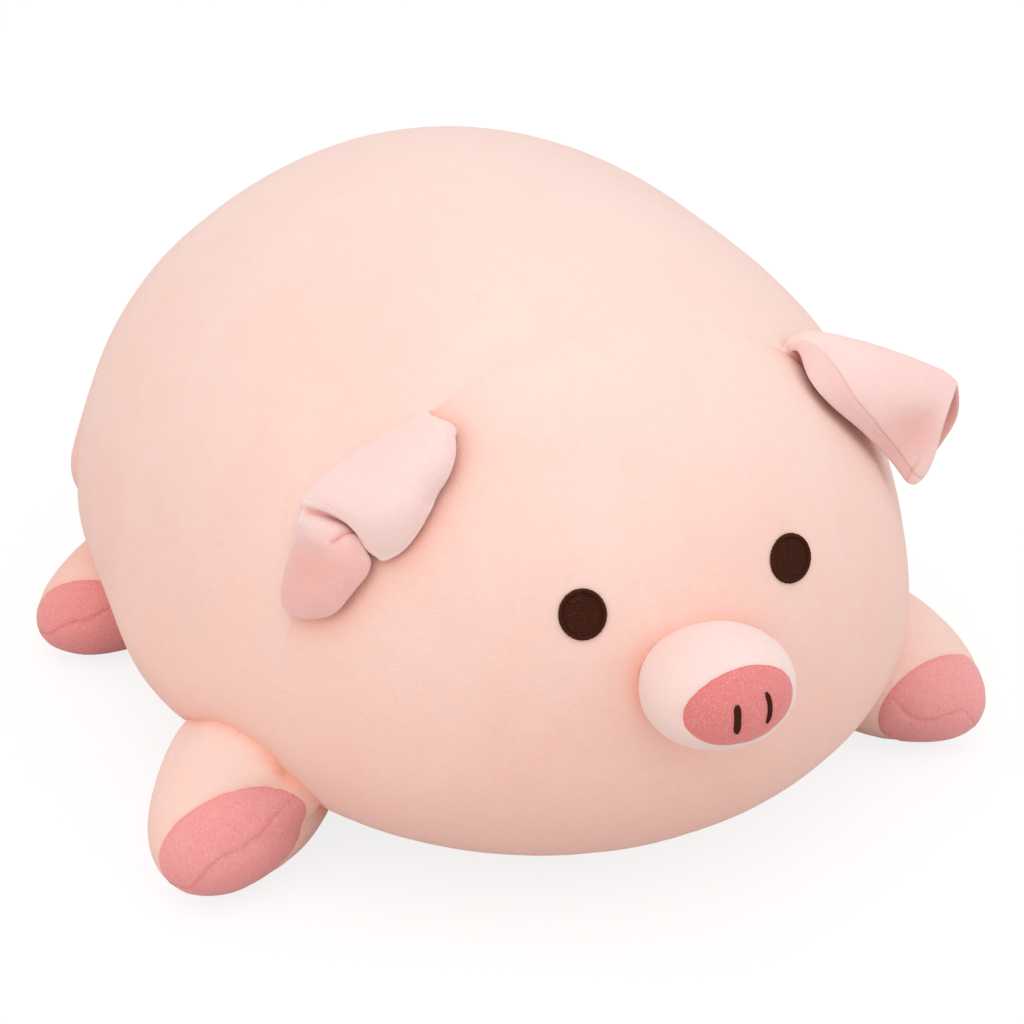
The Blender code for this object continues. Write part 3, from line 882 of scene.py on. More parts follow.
def shape_foot(bm, offsets, kind, side, frame_here):
    """Plumps a foot, draws in its seams, folds and root, paints shade into them and near the floor, shifts
    its tone, and stands it in its place.
    """
    painted_light_and_tone = bm.verts.layers.float["painted_light_and_tone"]
    folds = [tuple(foot_stub(kind, Vector(end).normalized()) for end in fold) for fold in kind["folds"]]
    placed = []
    for vert, (hoof_off, split_off) in zip(bm.verts, offsets):
        spot = vert.co
        share = foot_share(kind, spot)
        in_hoof = min(1.0, max(0.0, hoof_off / 0.004))
        swell = kind["swell"] * smooth_step((0.64 - share.x) / 0.75) * smooth_step(share.z / 0.62)
        swell *= min(1.0, max(0.0, (0.62 - share.y) / 1.2)) ** 1.4
        swell *= 1.0 - 0.65 * smooth_step((hoof_off + 0.004) / 0.012)
        root_off = max(0.0, above_skin(frame_here @ (spot + vert.normal * swell)))
        gathered = wander(spot, 0.0065, 3.0 + side)
        inwards = beside(hoof_off, *hoof_seam_pull)
        inwards += in_hoof * (0.75 + 0.5 * gathered) * beside(split_off, *split_seam_pull)
        inwards += in_hoof * split_gather * gathered * fade(split_off, gather_reach)
        inwards += hoof_gather * gathered * fade(hoof_off, gather_reach)
        inwards += beside(root_off, *root_pull)
        inwards += root_wave * wander(spot, 0.014, 6.0) * fade(root_off, 0.012)
        inwards += foot_wave * wander(spot, 0.032, 8.0 + side)
        # Painted shade in the seams, at the root, in the folds, at the pinch and near the floor, on top of
        # each foot's own tone shift.
        tint = beside(hoof_off, *hoof_seam_shade) + in_hoof * beside(split_off, *split_seam_shade)
        tint += beside(root_off, *root_shade) + kind.get("dye", 0.0)
        for start, end in folds:
            off, along = off_fold(spot, start, end)
            inwards += fold_depth * (1.0 - along) ** 0.7 * fade(off, fold_reach)
            tint += fold_shade * (1.0 - along) ** 0.8 * fade(off, fold_reach)
            off = (spot - start).length
            inwards += beside(off, *pinch_pull)
            tint += beside(off, *pinch_shade)
        # Painted shade near the floor.
        low = max(0.0, 1.0 - (frame_here @ spot).z / floor_shade_height)
        tint += floor_shade * low * (1.0 if in_hoof < 0.5 else hoof_floor_share)
        placed.append(frame_here @ (spot + vert.normal * (swell - inwards)))
        vert[painted_light_and_tone] = min(1.0, tint)
    for vert, place in zip(bm.verts, placed):
        place.z = 0.5 * (place.z + math.hypot(place.z, sole_softness)) + sole_clearance
        vert.co = place


def add_foot(name, kind, side):
    """Makes one foot's pieces and gives back its skin, for what it is sewn to."""
    frame_here = foot_frame(kind, side)
    bm, offsets = cut_foot(kind)
    shape_foot(bm, offsets, kind, side, frame_here)
    hidden = [face for face in bm.faces if all(above_skin(vert.co) < -tuck_depth for vert in face.verts)]
    bmesh.ops.delete(bm, geom=hidden, context="FACES")
    bm.normal_update()
    centre = frame_here.translation
    if sum(face.normal.dot(face.calc_center_median() - centre) for face in bm.faces) < 0.0:
        bmesh.ops.reverse_faces(bm, faces=bm.faces)
        bm.normal_update()
    hoof_seams[name] = line_between(bm, bm.faces.layers.int["panel"], 1, 2)
    for number, part, material, slot in (
        (0, "leg", peach_plush, "body_plush"),
        (1, "hoof_upper", coral_plush, "coral_plush"),
        (2, "hoof_lower", coral_plush, "coral_plush"),
    ):
        piece = add_piece(f"{name}_{part}_plush", panel_of(bm, number), material)
        thicken(piece, cover_thickness)
        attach(piece, "body")
        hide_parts(f"{name}_{part}")
    tree = BVHTree.FromBMesh(bm)
    bm.free()
    return tree


foot_skins = {}
for side, side_name in ((1.0, "left"), (-1.0, "right")):
    for kind_name, kind in foot_kinds.items():
        name = f"{kind_name}_{side_name}"
        foot_skins[name] = add_foot(name, {**kind, **foot_differences.get(name, {})}, side)
round_blank.free()


# Drawn-in covers
# Where the feet and the snout are sewn on, the thread draws the body's own covers in, and shade is painted on
# them round each. The covers then get the thickness of their fabric.


def tree_of(piece):
    """What a piece's surface is hit or found by."""
    bm = bmesh.new()
    bm.from_mesh(piece.data)
    tree = BVHTree.FromBMesh(bm)
    bm.free()
    return tree


search_reaches = 4.0
paler_share = 0.65
paler_run = 0.016


def draw_in(cover, sewn_on, depth, reach, tint, paler_above=1.0):
    """Sinks a cover beside a piece sewn onto it, and paints shade there, less above a height."""
    mesh = cover.data
    normals = [normal.vector.copy() for normal in mesh.vertex_normals]
    shade = mesh.attributes["painted_light_and_tone"].data
    for vert, normal in zip(mesh.vertices, normals):
        near = sewn_on.find_nearest(vert.co, search_reaches * reach)
        if near[0] is None:
            continue
        pull = fade(near[3], reach)
        vert.co -= normal * depth * pull
        vert.co.z = max(vert.co.z, floor_clearance)
        item = shade[vert.index]
        share = 1.0 - paler_share * smooth_step((vert.co.z - paler_above) / paler_run)
        item.value = min(1.0, item.value + tint * share * pull)


bun_tree = tree_of(bun)
for name, cover in covers.items():
    for tree in foot_skins.values():
        # Painted shade on the covers round each foot.
        draw_in(cover, tree, depth=0.0016, reach=0.0042, tint=0.65)
    if name == "face_cover":
        # Painted shade round the snout, less above its middle.
        over_bun = snout_middle.z + 0.006
        draw_in(cover, bun_tree, depth=0.0012, reach=0.0042, tint=0.55, paler_above=over_bun)
    thicken(cover, cover_thickness)
    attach(cover, "body")
    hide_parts(name)


# Ears
# Each ear is two layers of plush sewn round their rim and turned: peach outside, a pinker lining inside.
# The base is sewn into the face seam. The right one is folded forward and its tip turns out from under
# the fold. The left one is folded over along its top, its outer end open, its tip hanging.

# Each plush's colour, its deep colour for blotches, fibre roots and painted shade, and its tip colour for
# fibre tips and painted light.
lining_dyes = (0.87, 0.525, 0.495), (0.86, 0.33, 0.26), (0.96, 0.78, 0.75)
peach_dyes = (0.96, 0.68, 0.64), (0.93, 0.43, 0.38), (0.98, 0.86, 0.84)
ear_lining = plush("ear_lining", *lining_dyes, blotch=0.50, speckle=0.16, sheen=0.40)
ear_peach = plush("ear_peach", *peach_dyes, blotch=0.42, speckle=0.14, sheen=0.40)

right_flap = (
    ((-82.5, -108.6, 247.0), (-83.6, -110.4, 247.2), (-85.2, -112.8, 247.2), (-85.3, -116.7, 248.1),
     (-85.0, -119.4, 248.3), (-84.0, -120.4, 247.1), (-82.7, -119.7, 245.0)),
    ((-88.7, -108.8, 242.8), (-91.6, -107.2, 243.0), (-92.9, -111.6, 243.6), (-91.9, -122.3, 246.1),
     (-89.8, -128.9, 246.7), (-86.2, -130.5, 244.3), (-83.8, -130.3, 240.7)),
    ((-97.1, -108.8, 236.6), (-103.0, -104.8, 234.4), (-105.1, -109.5, 237.4), (-103.0, -125.8, 240.0),
     (-99.4, -136.9, 240.5), (-94.2, -141.5, 237.2), (-89.8, -141.1, 232.2)),
    ((-105.2, -108.8, 229.8), (-114.6, -101.2, 226.0), (-117.6, -106.0, 230.0), (-114.8, -125.4, 232.8),
     (-110.9, -138.3, 232.7), (-105.4, -144.5, 228.6), (-99.2, -145.3, 221.7)),
    ((-112.9, -108.8, 222.6), (-125.0, -98.0, 217.4), (-128.3, -103.0, 221.8), (-125.1, -124.5, 224.5),
     (-120.4, -139.3, 224.2), (-114.1, -146.9, 219.7), (-106.4, -148.7, 212.4)),
    ((-120.2, -108.8, 214.9), (-134.2, -95.4, 208.8), (-137.6, -100.2, 213.3), (-133.5, -119.9, 216.1),
     (-128.9, -135.2, 216.1), (-123.0, -145.2, 211.2), (-115.7, -148.9, 201.5)),
    ((-126.1, -108.8, 208.0), (-139.6, -94.8, 202.2), (-143.0, -98.8, 206.7), (-138.0, -112.4, 210.8),
     (-133.7, -126.4, 212.0), (-129.6, -138.7, 207.4), (-124.0, -144.5, 195.1)),
    ((-128.6, -108.8, 204.6), (-141.2, -95.0, 199.4), (-144.3, -99.7, 205.4), (-139.5, -111.3, 209.1),
     (-134.9, -123.1, 210.4), (-130.6, -134.0, 206.8), (-126.9, -139.9, 195.8)),
    ((-130.0, -108.8, 202.4), (-142.0, -95.0, 197.4), (-144.9, -97.0, 201.2), (-139.3, -104.1, 203.5),
     (-134.4, -116.6, 206.6), (-130.5, -128.8, 203.7), (-127.4, -136.0, 194.0)),
)
right_tip = (
    ((-142.9, -95.7, 205.7), (-138.3, -102.9, 206.7), (-133.2, -109.8, 207.5), (-129.4, -117.3, 206.3),
     (-125.9, -127.7, 201.6)),
    ((-145.4, -98.4, 201.9), (-140.8, -104.1, 202.3), (-136.2, -111.0, 202.6), (-132.1, -119.0, 202.2),
     (-128.2, -127.4, 199.9)),
    ((-147.9, -100.9, 198.1), (-144.8, -109.6, 199.8), (-140.5, -118.6, 201.2), (-135.3, -125.0, 201.8),
     (-129.1, -131.1, 199.0)),
    ((-149.9, -102.0, 192.9), (-146.7, -111.7, 195.1), (-142.6, -122.4, 197.0), (-136.5, -129.2, 197.6),
     (-128.5, -135.4, 195.9)),
    ((-152.2, -102.4, 186.4), (-148.8, -112.9, 188.5), (-144.0, -124.6, 190.8), (-137.2, -133.1, 192.7),
     (-127.8, -138.2, 192.2)),
    ((-155.3, -102.4, 177.9), (-151.5, -114.5, 180.7), (-146.3, -126.4, 183.6), (-139.3, -134.4, 185.7),
     (-129.7, -139.2, 187.0)),
    ((-158.5, -102.2, 168.6), (-154.7, -114.5, 171.6), (-149.1, -126.7, 174.6), (-142.2, -133.9, 177.9),
     (-133.4, -138.5, 180.3)),
    ((-160.8, -102.6, 159.9), (-156.9, -113.2, 162.1), (-151.4, -124.5, 165.2), (-144.3, -132.5, 168.9),
     (-136.9, -137.3, 173.3)),
    ((-161.5, -103.9, 155.0), (-157.0, -113.0, 157.1), (-151.4, -122.9, 160.5), (-144.9, -131.3, 164.5),
     (-138.7, -136.7, 169.3)),
)
left_fold = (
    ((88.0, -108.8, 243.6), (91.0, -106.6, 245.4), (93.8, -106.0, 248.1), (94.1, -106.5, 247.2),
     (94.5, -106.7, 246.2), (95.2, -106.6, 245.0), (95.9, -106.3, 244.2)),
    ((97.1, -108.8, 236.6), (103.0, -104.8, 242.0), (106.8, -107.5, 246.3), (104.4, -110.2, 244.8),
     (101.4, -112.0, 243.5), (99.0, -112.6, 241.7), (97.6, -112.5, 240.3)),
    ((109.0, -108.8, 226.6), (118.0, -103.4, 234.6), (123.6, -109.5, 240.9), (117.4, -116.9, 240.6),
     (109.5, -122.7, 239.5), (101.5, -126.1, 237.3), (94.9, -127.9, 234.8)),
    ((121.5, -109.5, 213.6), (134.5, -104.6, 224.0), (141.9, -113.0, 233.2), (133.8, -122.8, 233.3),
     (123.4, -130.3, 230.8), (111.7, -134.5, 227.8), (101.3, -136.5, 224.5)),
    ((137.0, -113.0, 198.0), (153.0, -108.6, 211.6), (159.1, -118.0, 225.4), (151.5, -127.0, 222.4),
     (142.2, -133.5, 217.2), (130.7, -136.5, 211.4), (120.1, -137.0, 205.8)),
    ((152.0, -118.5, 184.0), (169.4, -113.6, 201.0), (171.2, -121.0, 219.0), (164.6, -127.9, 213.4),
     (157.5, -131.8, 204.9), (148.0, -133.2, 194.8), (138.9, -132.2, 184.6)),
    ((165.0, -123.0, 174.0), (180.8, -120.6, 193.6), (178.0, -124.0, 213.2), (171.6, -129.6, 208.6),
     (166.4, -133.0, 200.0), (160.8, -135.2, 183.6), (151.8, -136.2, 164.8)),
)
ear_gap = 0.00006
rim_steps = 5.0
root_depth = 0.0034
sewn_side = 0.05
side_gap = 0.005
sheet_start = 0.055
edge_gap = 0.0042
edge_press = 0.0045


def curve_weights(where, count):
    """For places along a row of points: the first of four points each rests on, and their weights."""
    first = np.clip(where.astype(int), 0, count - 2)
    t = where - first
    return first, 0.5 * np.stack(
        [-t + 2.0 * t**2 - t**3, 2.0 - 5.0 * t**2 + 3.0 * t**3, t + 4.0 * t**2 - 3.0 * t**3, t**3 - t**2]
    )


def sheet_points(table, u, v):
    """Places on the smooth sheet that runs through a table of points in millimetres."""
    net = np.array(table) * 0.001
    rows, columns = net.shape[:2]
    for axis in (0, 1):
        before = 2.0 * net.take([0], axis) - net.take([1], axis)
        after = 2.0 * net.take([-1], axis) - net.take([-2], axis)
        net = np.concatenate([before, net, after], axis)
    i, row_weights = curve_weights(u * (rows - 1), rows)
    j, column_weights = curve_weights(v * (columns - 1), columns)
    return sum(
        (row_weights[a] * column_weights[b])[..., None] * net[i + a, j + b]
        for a in range(4)
        for b in range(4)
    )


def round_corner(u, v, at_u, at_v, size_u, size_v):
    """Turns one square corner of a sheet into a quarter of a disc."""
    a = np.clip(1.0 - np.abs(at_u - u) / size_u, 0.0, 1.0)
    b = np.clip(1.0 - np.abs(at_v - v) / size_v, 0.0, 1.0)
    moved_u = at_u + (1.0 - 2.0 * at_u) * size_u * (1.0 - a * np.sqrt(1.0 - 0.5 * b * b))
    moved_v = at_v + (1.0 - 2.0 * at_v) * size_v * (1.0 - b * np.sqrt(1.0 - 0.5 * a * a))
    corner = (a > 0.0) & (b > 0.0)
    return np.where(corner, moved_u, u), np.where(corner, moved_v, v)


def smooth_steps(share):
    """The same as smooth_step, for an array."""
    share = np.clip(share, 0.0, 1.0)
    return share * share * (3.0 - 2.0 * share)


def bump_at(u, v, middle_u, middle_v, reach_u, reach_v):
    """A soft round hill on a sheet, 1 high."""
    return np.exp(-(((u - middle_u) / reach_u) ** 2) - ((v - middle_v) / reach_v) ** 2)


def off_line(places, start, end):
    """How far places on a flat sheet are from a straight line."""
    way = np.array(end) - start
    along = np.clip(((places - start) @ way) / (way @ way), 0.0, 1.0)
    return np.linalg.norm(places - start - along[..., None] * way, axis=-1)


def fabric_layer(name, inner, outer, tone, material, first=0, last=None):
    """A closed layer of fabric between two sheets of points, or a strip of its columns."""
    columns = slice(first, None if last is None else last + 1)
    inner, outer, tone = inner[:, columns], outer[:, columns], tone[:, columns]
    rows, count = tone.shape
    bm = bmesh.new()
    shade = bm.verts.layers.float.new("painted_light_and_tone")
    low, high = ([[bm.verts.new(place) for place in row] for row in side] for side in (inner, outer))
    for side in (low, high):
        for row, tones in zip(side, tone):
            for vert, value in zip(row, tones):
                vert[shade] = float(min(max(value, -1.0), 1.0))
    for i in range(rows - 1):
        for j in range(count - 1):
            bm.faces.new((high[i][j], high[i + 1][j], high[i + 1][j + 1], high[i][j + 1]))
            bm.faces.new((low[i][j], low[i][j + 1], low[i + 1][j + 1], low[i + 1][j]))
    rim = [(0, j) for j in range(count)] + [(i, count - 1) for i in range(1, rows)]
    rim += [(rows - 1, j) for j in range(count - 2, -1, -1)] + [(i, 0) for i in range(rows - 2, 0, -1)]
    for (a, b), (c, d) in zip(rim, rim[1:] + rim[:1]):
        bm.faces.new((high[a][b], high[c][d], low[c][d], low[a][b]))
    bmesh.ops.recalc_face_normals(bm, faces=bm.faces)
    face_outwards(bm)
    return add_piece(name, bm, material)


def rounded_sheet(points, swell_up, swell_down, half, open_base):
    """The normals of a sheet of fabric and how thick it is on both sides, thin at its free edges."""
    normals = np.cross(np.gradient(points, axis=0), np.gradient(points, axis=1))
    normals /= np.maximum(np.linalg.norm(normals, axis=-1, keepdims=True), 1e-9)
    rows, columns = points.shape[:2]
    i, j = np.meshgrid(np.arange(rows), np.arange(columns), indexing="ij")
    edge = np.minimum(np.minimum(i, rows - 1 - i), columns - 1 - j)
    edge = edge if open_base else np.minimum(edge, j)
    full = np.sqrt(1.0 - (1.0 - np.clip(edge / rim_steps, 0.0, 1.0)) ** 2)
    waver = np.array([[wander(place, 0.011, 11.0) for place in row] for row in points])
    up = (half + swell_up + 0.0004 * waver) * full
    down = (half + swell_down + 0.0003 * waver) * full
    # How near each point is to a free edge, which the ears' tones use for a painted highlight on their rims.
    rim = np.exp(-edge / 3.0)
    return normals, up, down, rim


def rooted(points, u, v, reach):
    """Sinks the sewn end and side of a sheet into the body, so that it grows out of the skin."""
    sewn = np.minimum(u / reach, v / sewn_side)
    for row, column in np.argwhere(sewn < 1.0):
        spot = Vector(points[row, column])
        near, normal, index, distance = skin.find_nearest(spot)
        if u[row, column] > reach and distance > side_gap:
            continue
        share = (1.0 - sewn[row, column]) ** 1.5
        points[row, column] += share * np.array(near - normal * root_depth - spot)
    return points


def steps_of(rows, columns):
    """Even steps from 0 to 1 down and across a sheet."""
    return np.meshgrid(np.linspace(0.0, 1.0, rows), np.linspace(0.0, 1.0, columns), indexing="ij")


def pressed(points, share):
    """Lets a sheet's free edge hang closer to the body, along the line of sight from the front."""
    for row, column in np.argwhere(share > 0.0):
        spot = Vector(points[row, column])
        near, normal = skin.find_nearest(spot)[:2]
        gap = (spot - near).dot(normal) - edge_gap
        if gap > 0.0:
            slant = max(0.35, normal.dot(towards_camera))
            drop = share[row, column] * min(gap / slant, edge_press)
            points[row, column] -= np.array(towards_camera) * drop
    return points


def joined(name, pieces):
    """Joins pieces of one fabric into one piece."""
    bm = bmesh.new()
    material = pieces[0].data.materials[0]
    for piece in pieces:
        bm.from_mesh(piece.data)
        bpy.data.objects.remove(piece, do_unlink=True)
    return add_piece(name, bm, material)


# The right ear's main fold: a fat roll along its top, a free edge that puffs, a lower end turned under.
u, v = steps_of(112, 96)
u, v = round_corner(u, v, 1.0, 1.0, 0.14, 0.20)
u, v = round_corner(u, v, 0.0, 1.0, 0.12, 0.30)
u = sheet_start + (1.0 - sheet_start) * u
points = rooted(sheet_points(right_flap, u, v), u, v, 0.14)
free_edge = np.clip((v - 0.45) / 0.55, 0.0, 1.0) ** 1.5 * np.clip((1.05 - u) / 0.3, 0.0, 1.0)
tucked_end = smooth_steps((u - 0.80) / 0.16) * np.clip((0.66 - v) / 0.25, 0.0, 1.0)
points = pressed(points, np.maximum(free_edge, tucked_end))
points += tucked_end[..., None] * np.array((0.0022, -0.0010, 0.0))
hill = 0.0030 * np.sin(np.pi * u) ** 0.8 * np.sin(np.pi * v**2.0)
normals, up, down, rim = rounded_sheet(points, hill, 0.0006, half=0.0014, open_base=True)
dents = 0.0010 * bump_at(u, v, 0.42, 0.97, 0.03, 0.10) - 0.0006 * bump_at(u, v, 0.55, 0.75, 0.16, 0.10)
outer_side = points + normals * (up + ear_gap)[..., None]
inner_side = points - normals * (down + ear_gap)[..., None]
outer_side -= normals * dents[..., None]
# The flap's tone: painted highlight paling its free rims, painted shade along its sewn edge, and a little
# deeper low on its free side.
tone = -0.30 - 0.45 * rim + 0.9 * np.exp(-v / 0.06) + 0.10 * bump_at(u, v, 0.85, 0.8, 0.3, 0.3)
flap_outer = fabric_layer("flap_outer", points + normals * ear_gap, outer_side, tone, ear_peach)
lining_tone = 0.55 - 1.3 * np.exp(-(u - sheet_start) / 0.03)
flap_lining = fabric_layer("flap_lining", inner_side, points - normals * ear_gap, lining_tone, ear_lining)

# Its tip turns out from under the fold: a band sinks beside the fold, a short seam ends in it, and the
# lining faces out.
u, v = steps_of(132, 96)
u, v = round_corner(u, v, 1.0, 0.0, 0.42, 0.50)
u, v = round_corner(u, v, 1.0, 1.0, 0.42, 0.50)
points = sheet_points(right_tip, u, v)
over_fold = np.exp(-((u / 0.11) ** 2)) * np.clip((0.62 - v) / 0.30, 0.0, 1.0)
points += over_fold[..., None] * (np.array(towards_camera) * 0.0040 + np.array((0.0018, 0.0018, 0.0028)))
hill = 0.0022 * np.sin(np.pi * u) ** 0.7 * np.sin(np.pi * v) ** 0.8
normals, up, down, rim = rounded_sheet(points, hill, 0.0004, half=0.0013, open_base=False)
tip_size = np.array((0.054, 0.040))
off_dart = off_line(np.stack([u, v], -1) * tip_size, (0.36, 0.62) * tip_size, (0.16, 0.97) * tip_size)
groove = 0.0018 * np.exp(-off_dart / 0.0013)
band = bump_at(u, 0.0, 0.135, 0.0, 0.045, 1.0) * np.clip(v * 5.0, 0.0, 1.0)
shape = 0.0012 * bump_at(u, v, 0.255, 0.35, 0.05, 0.35) + 0.0010 * bump_at(u, v, 0.36, 0.35, 0.06, 0.16)
shape -= groove + 0.0011 * band + 0.0009 * bump_at(u, v, 0.62, 0.45, 0.16, 0.22)
upward = 1.0 if normals[60, 48] @ np.array(towards_camera) > 0.0 else -1.0
outer_side = points + normals * (upward * (up + ear_gap + shape))[..., None]
inner_side = points - normals * (upward * (down + ear_gap))[..., None]
# The tip's tone: paler near the fold to blend with the outer plush, painted highlight paling its rims, and
# painted shade in the band beside the fold, in the seam's groove, in the dent and under the fold's edge.
tone = 0.12 - 0.80 * np.exp(-((np.maximum(u - 0.20, 0.0) / 0.20) ** 2)) - 0.55 * rim + 0.75 * band
tone += 1.1 * np.exp(-off_dart / 0.0007) + 0.30 * bump_at(u, v, 0.60, 0.40, 0.16, 0.25)
tone += 1.6 * bump_at(u, v, 0.10, 0.92, 0.09, 0.10) + 0.9 * bump_at(u, v, 0.22, 1.0, 0.09, 0.06)
between = normals * (upward * ear_gap)
tip_lining = fabric_layer("tip_lining", points + between, outer_side, tone, ear_lining)
tip_outer = fabric_layer("tip_outer", inner_side, points - between, 0.2 + 0.0 * tone, ear_peach)

# The left ear: one sheet from its sewn base up its back, over the fold and down its front. The rim seam
# runs across the front, and the lining comes round from behind it to the front edge.
seam_columns = (86, 110)
seam_at = (0.0, 0.17, 0.33, 0.5, 0.67, 0.83, 1.0)
seam_run = np.interp(np.linspace(0.0, 1.0, 112), seam_at, (0.60, 0.66, 0.745, 0.85, 0.905, 0.93, 0.955))
u, v = steps_of(112, seam_columns[1])
column = np.arange(seam_columns[1])[None, :]
before = seam_run[:, None] * column / seam_columns[0]
last_column = seam_columns[1] - 1
after = 1.0 - (1.0 - seam_run[:, None]) * (last_column - column) / (last_column - seam_columns[0])
v = np.where(column <= seam_columns[0], before, after)
off_seam = v - seam_run[:, None]
u, v = round_corner(u, v, 1.0, 1.0, 0.09, 0.13)
u = sheet_start + (1.0 - sheet_start) * u
points = rooted(sheet_points(left_fold, u, v), u, v, 0.15)
hill = 0.0026 * np.sin(np.pi * u) ** 0.7 * np.sin(np.pi * np.clip((v - 0.30) / 0.70, 0.0, 1.0)) ** 0.8
normals, up, down, rim = rounded_sheet(points, 0.0004, hill, half=0.0014, open_base=True)
on_front = np.clip((v - 0.34) / 0.05, 0.0, 1.0)
seam_shows = on_front * np.clip((u - 0.26) / 0.15, 0.0, 1.0)
groove = 0.0006 * seam_shows * np.exp(-np.abs(off_seam) / 0.012)
groove = groove + 0.0014 * bump_at(u, v, 0.80, 0.78, 0.12, 0.12)
groove = groove + 0.0010 * np.exp(-(((u - 0.925) / 0.012) ** 2)) * np.clip((v - 0.86) / 0.06, 0.0, 1.0)
front_side = points - normals * (down + ear_gap - groove)[..., None]
back_side = points + normals * (up + ear_gap)[..., None]
# The left ear's tone: painted highlight paling its free rims; painted shade along the rim seam, in the dent
# low on the front, in the groove at the open end and along the sewn base and side; a little paler high on the
# front. The strip's lining takes the same tone, shifted paler.
tone = -0.05 - 0.45 * rim + 0.16 * seam_shows * np.exp(-np.abs(off_seam) / 0.005)
tone += 0.66 * bump_at(u, v, 0.81, 0.78, 0.13, 0.16) + 0.85 * np.exp(-v / 0.08)
tone -= 0.25 * bump_at(u, v, 0.30, 0.52, 0.25, 0.12)
tone += 0.5 * np.exp(-(((u - 0.925) / 0.008) ** 2)) * (v > 0.88)
tone += 0.75 * np.exp(-u / 0.05)
strip_tone = tone - 0.46 + 0.32 * np.clip(u / 0.6, 0.0, 1.0) - 0.25 * np.clip((u - 0.90) / 0.06, 0.0, 1.0)
between = normals * ear_gap
seam = seam_columns[0]
lining_tone = 0.45 - 1.3 * np.exp(-(u - sheet_start) / 0.03)
left_outer = fabric_layer("left_outer", points - between, front_side, tone, ear_peach, last=seam)
left_strip = fabric_layer("left_strip", points - between, front_side, strip_tone, ear_lining, first=seam)
left_lining = fabric_layer("left_lining", back_side, points + between, lining_tone, ear_lining)
ear_seam = [(Vector(front_side[k, seam]), Vector(-normals[k, seam])) for k in range(40, 106)]

ears = {
    "ear_right_outer": joined("ear_right_outer_plush", [flap_outer, tip_outer]),
    "ear_right_inner": joined("ear_right_inner_plush", [flap_lining, tip_lining]),
    "ear_left_outer": joined("ear_left_outer_plush", [left_outer]),
    "ear_left_inner": joined("ear_left_inner_plush", [left_strip, left_lining]),
}
hinge_spots = {joint["name"]: Vector(joint["pos_m"]) for joint in frame["joints"]}
ear_reach = {
    "ear_left": (hinge_spots["ear_left_fold"], Vector((0.45, -0.75, 0.48))),
    "ear_right": (hinge_spots["ear_right_fold"], Vector((-0.25, -0.95, 0.20))),
}
sewn_length = 0.004
bend_length = 0.014
shadow_reach = 0.0075
shadow_tint = 0.45
for node, piece in ears.items():
    draw_in(covers["face_cover"], tree_of(piece), depth=0.0, reach=shadow_reach, tint=shadow_tint)
    body = node[: node.rindex("_")]
    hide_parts(node)
    start, way = ear_reach[body]
    way = way.normalized()
    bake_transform(piece, "body", body, start=start - way * sewn_length, end=start + way * bend_length)


# Stitching
# Thread laid in short stitches. One node tree swells each laid line into a round thread with thin ends
# that dive into the fabric. Dark satin stitch makes the eyes and nostrils.


def build_sewn_thread():
    """Sweeps each laid line into a round thread that tapers at both ends and wavers a little."""
    tree = bpy.data.node_groups.new("sewn_thread", "GeometryNodeTree")
    add_sockets(tree, "INPUT", ("Geometry", "Geometry"), ("Float", "Thread Radius", 0.0002))
    add_sockets(tree, "INPUT", ("Int", "Thread Sides", 6), ("Float", "Waver", 0.00004), ("Int", "Seed", 1))
    add_sockets(tree, "INPUT", ("Material", "Thread"))
    add_sockets(tree, "OUTPUT", ("Geometry", "Geometry"))
    add, calc = partial(add_node, tree), partial(math_node, tree)
    given = add("NodeGroupInput", {})
    curve = add("GeometryNodeMeshToCurve", {"Mesh": given["Geometry"]})[0]
    corners = {"Min": (-1.0, -1.0, -1.0), "Max": (1.0, 1.0, 1.0), "Seed": given["Seed"]}
    shake = add("FunctionNodeRandomValue", corners, data_type="FLOAT_VECTOR")[0]
    shake = add("ShaderNodeVectorMath", {0: shake, "Scale": given["Waver"]}, operation="SCALE")[0]
    curve = add("GeometryNodeSetPosition", {"Geometry": curve, "Offset": shake})[0]
    along = add("GeometryNodeSplineParameter", {})["Factor"]
    off_middle = calc("ABSOLUTE", calc("SUBTRACT", along, 0.5), 0.0)
    taper = calc("SUBTRACT", 1.0, calc("POWER", calc("MULTIPLY", off_middle, 1.7), 3.0))
    taper = calc("MULTIPLY", taper, given["Thread Radius"])
    curve = add("GeometryNodeSetCurveRadius", {"Curve": curve, "Radius": taper})[0]
    circle = {"Radius": 1.0, "Resolution": given["Thread Sides"]}
    ring = add("GeometryNodeCurvePrimitiveCircle", circle)["Curve"]
    sweep = {"Curve": curve, "Profile Curve": ring, "Scale": taper, "Fill Caps": True}
    swept = add("GeometryNodeCurveToMesh", sweep)[0]
    real = add("GeometryNodeRealizeInstances", {"Geometry": swept})[0]
    dyed = add("GeometryNodeSetMaterial", {"Geometry": real, "Material": given["Thread"]})[0]
    add("NodeGroupOutput", {"Geometry": dyed})
    return tree


sewn_thread = build_sewn_thread()


def thread_material(name, colour, light):
    """Twisted polyester thread: fine ply lines along it, and a low satin shine."""
    material, tree, shader, place = fabric(name)
    calc = partial(math_node, tree)
    plies = noise_node(tree, place, 2600.0, 2.0)
    mixed = colour_mix(tree, calc("MULTIPLY", plies, 0.9), (*colour, 1.0), (*light, 1.0))
    rough = calc("ADD", calc("MULTIPLY", plies, 0.2), 0.42)
    wire(tree, shader, mixed, rough, plies, 0.5, 0.0001)
    shader.inputs["Specular IOR Level"].default_value = 0.04
    return material


brown_thread = thread_material("brown_thread", (0.037, 0.0080, 0.0038), (0.098, 0.029, 0.0165))
lining_thread = thread_material("lining_thread", (0.78, 0.36, 0.33), (0.90, 0.52, 0.48))
coral_thread = thread_material("coral_thread", (0.74, 0.235, 0.225), (0.88, 0.36, 0.35))


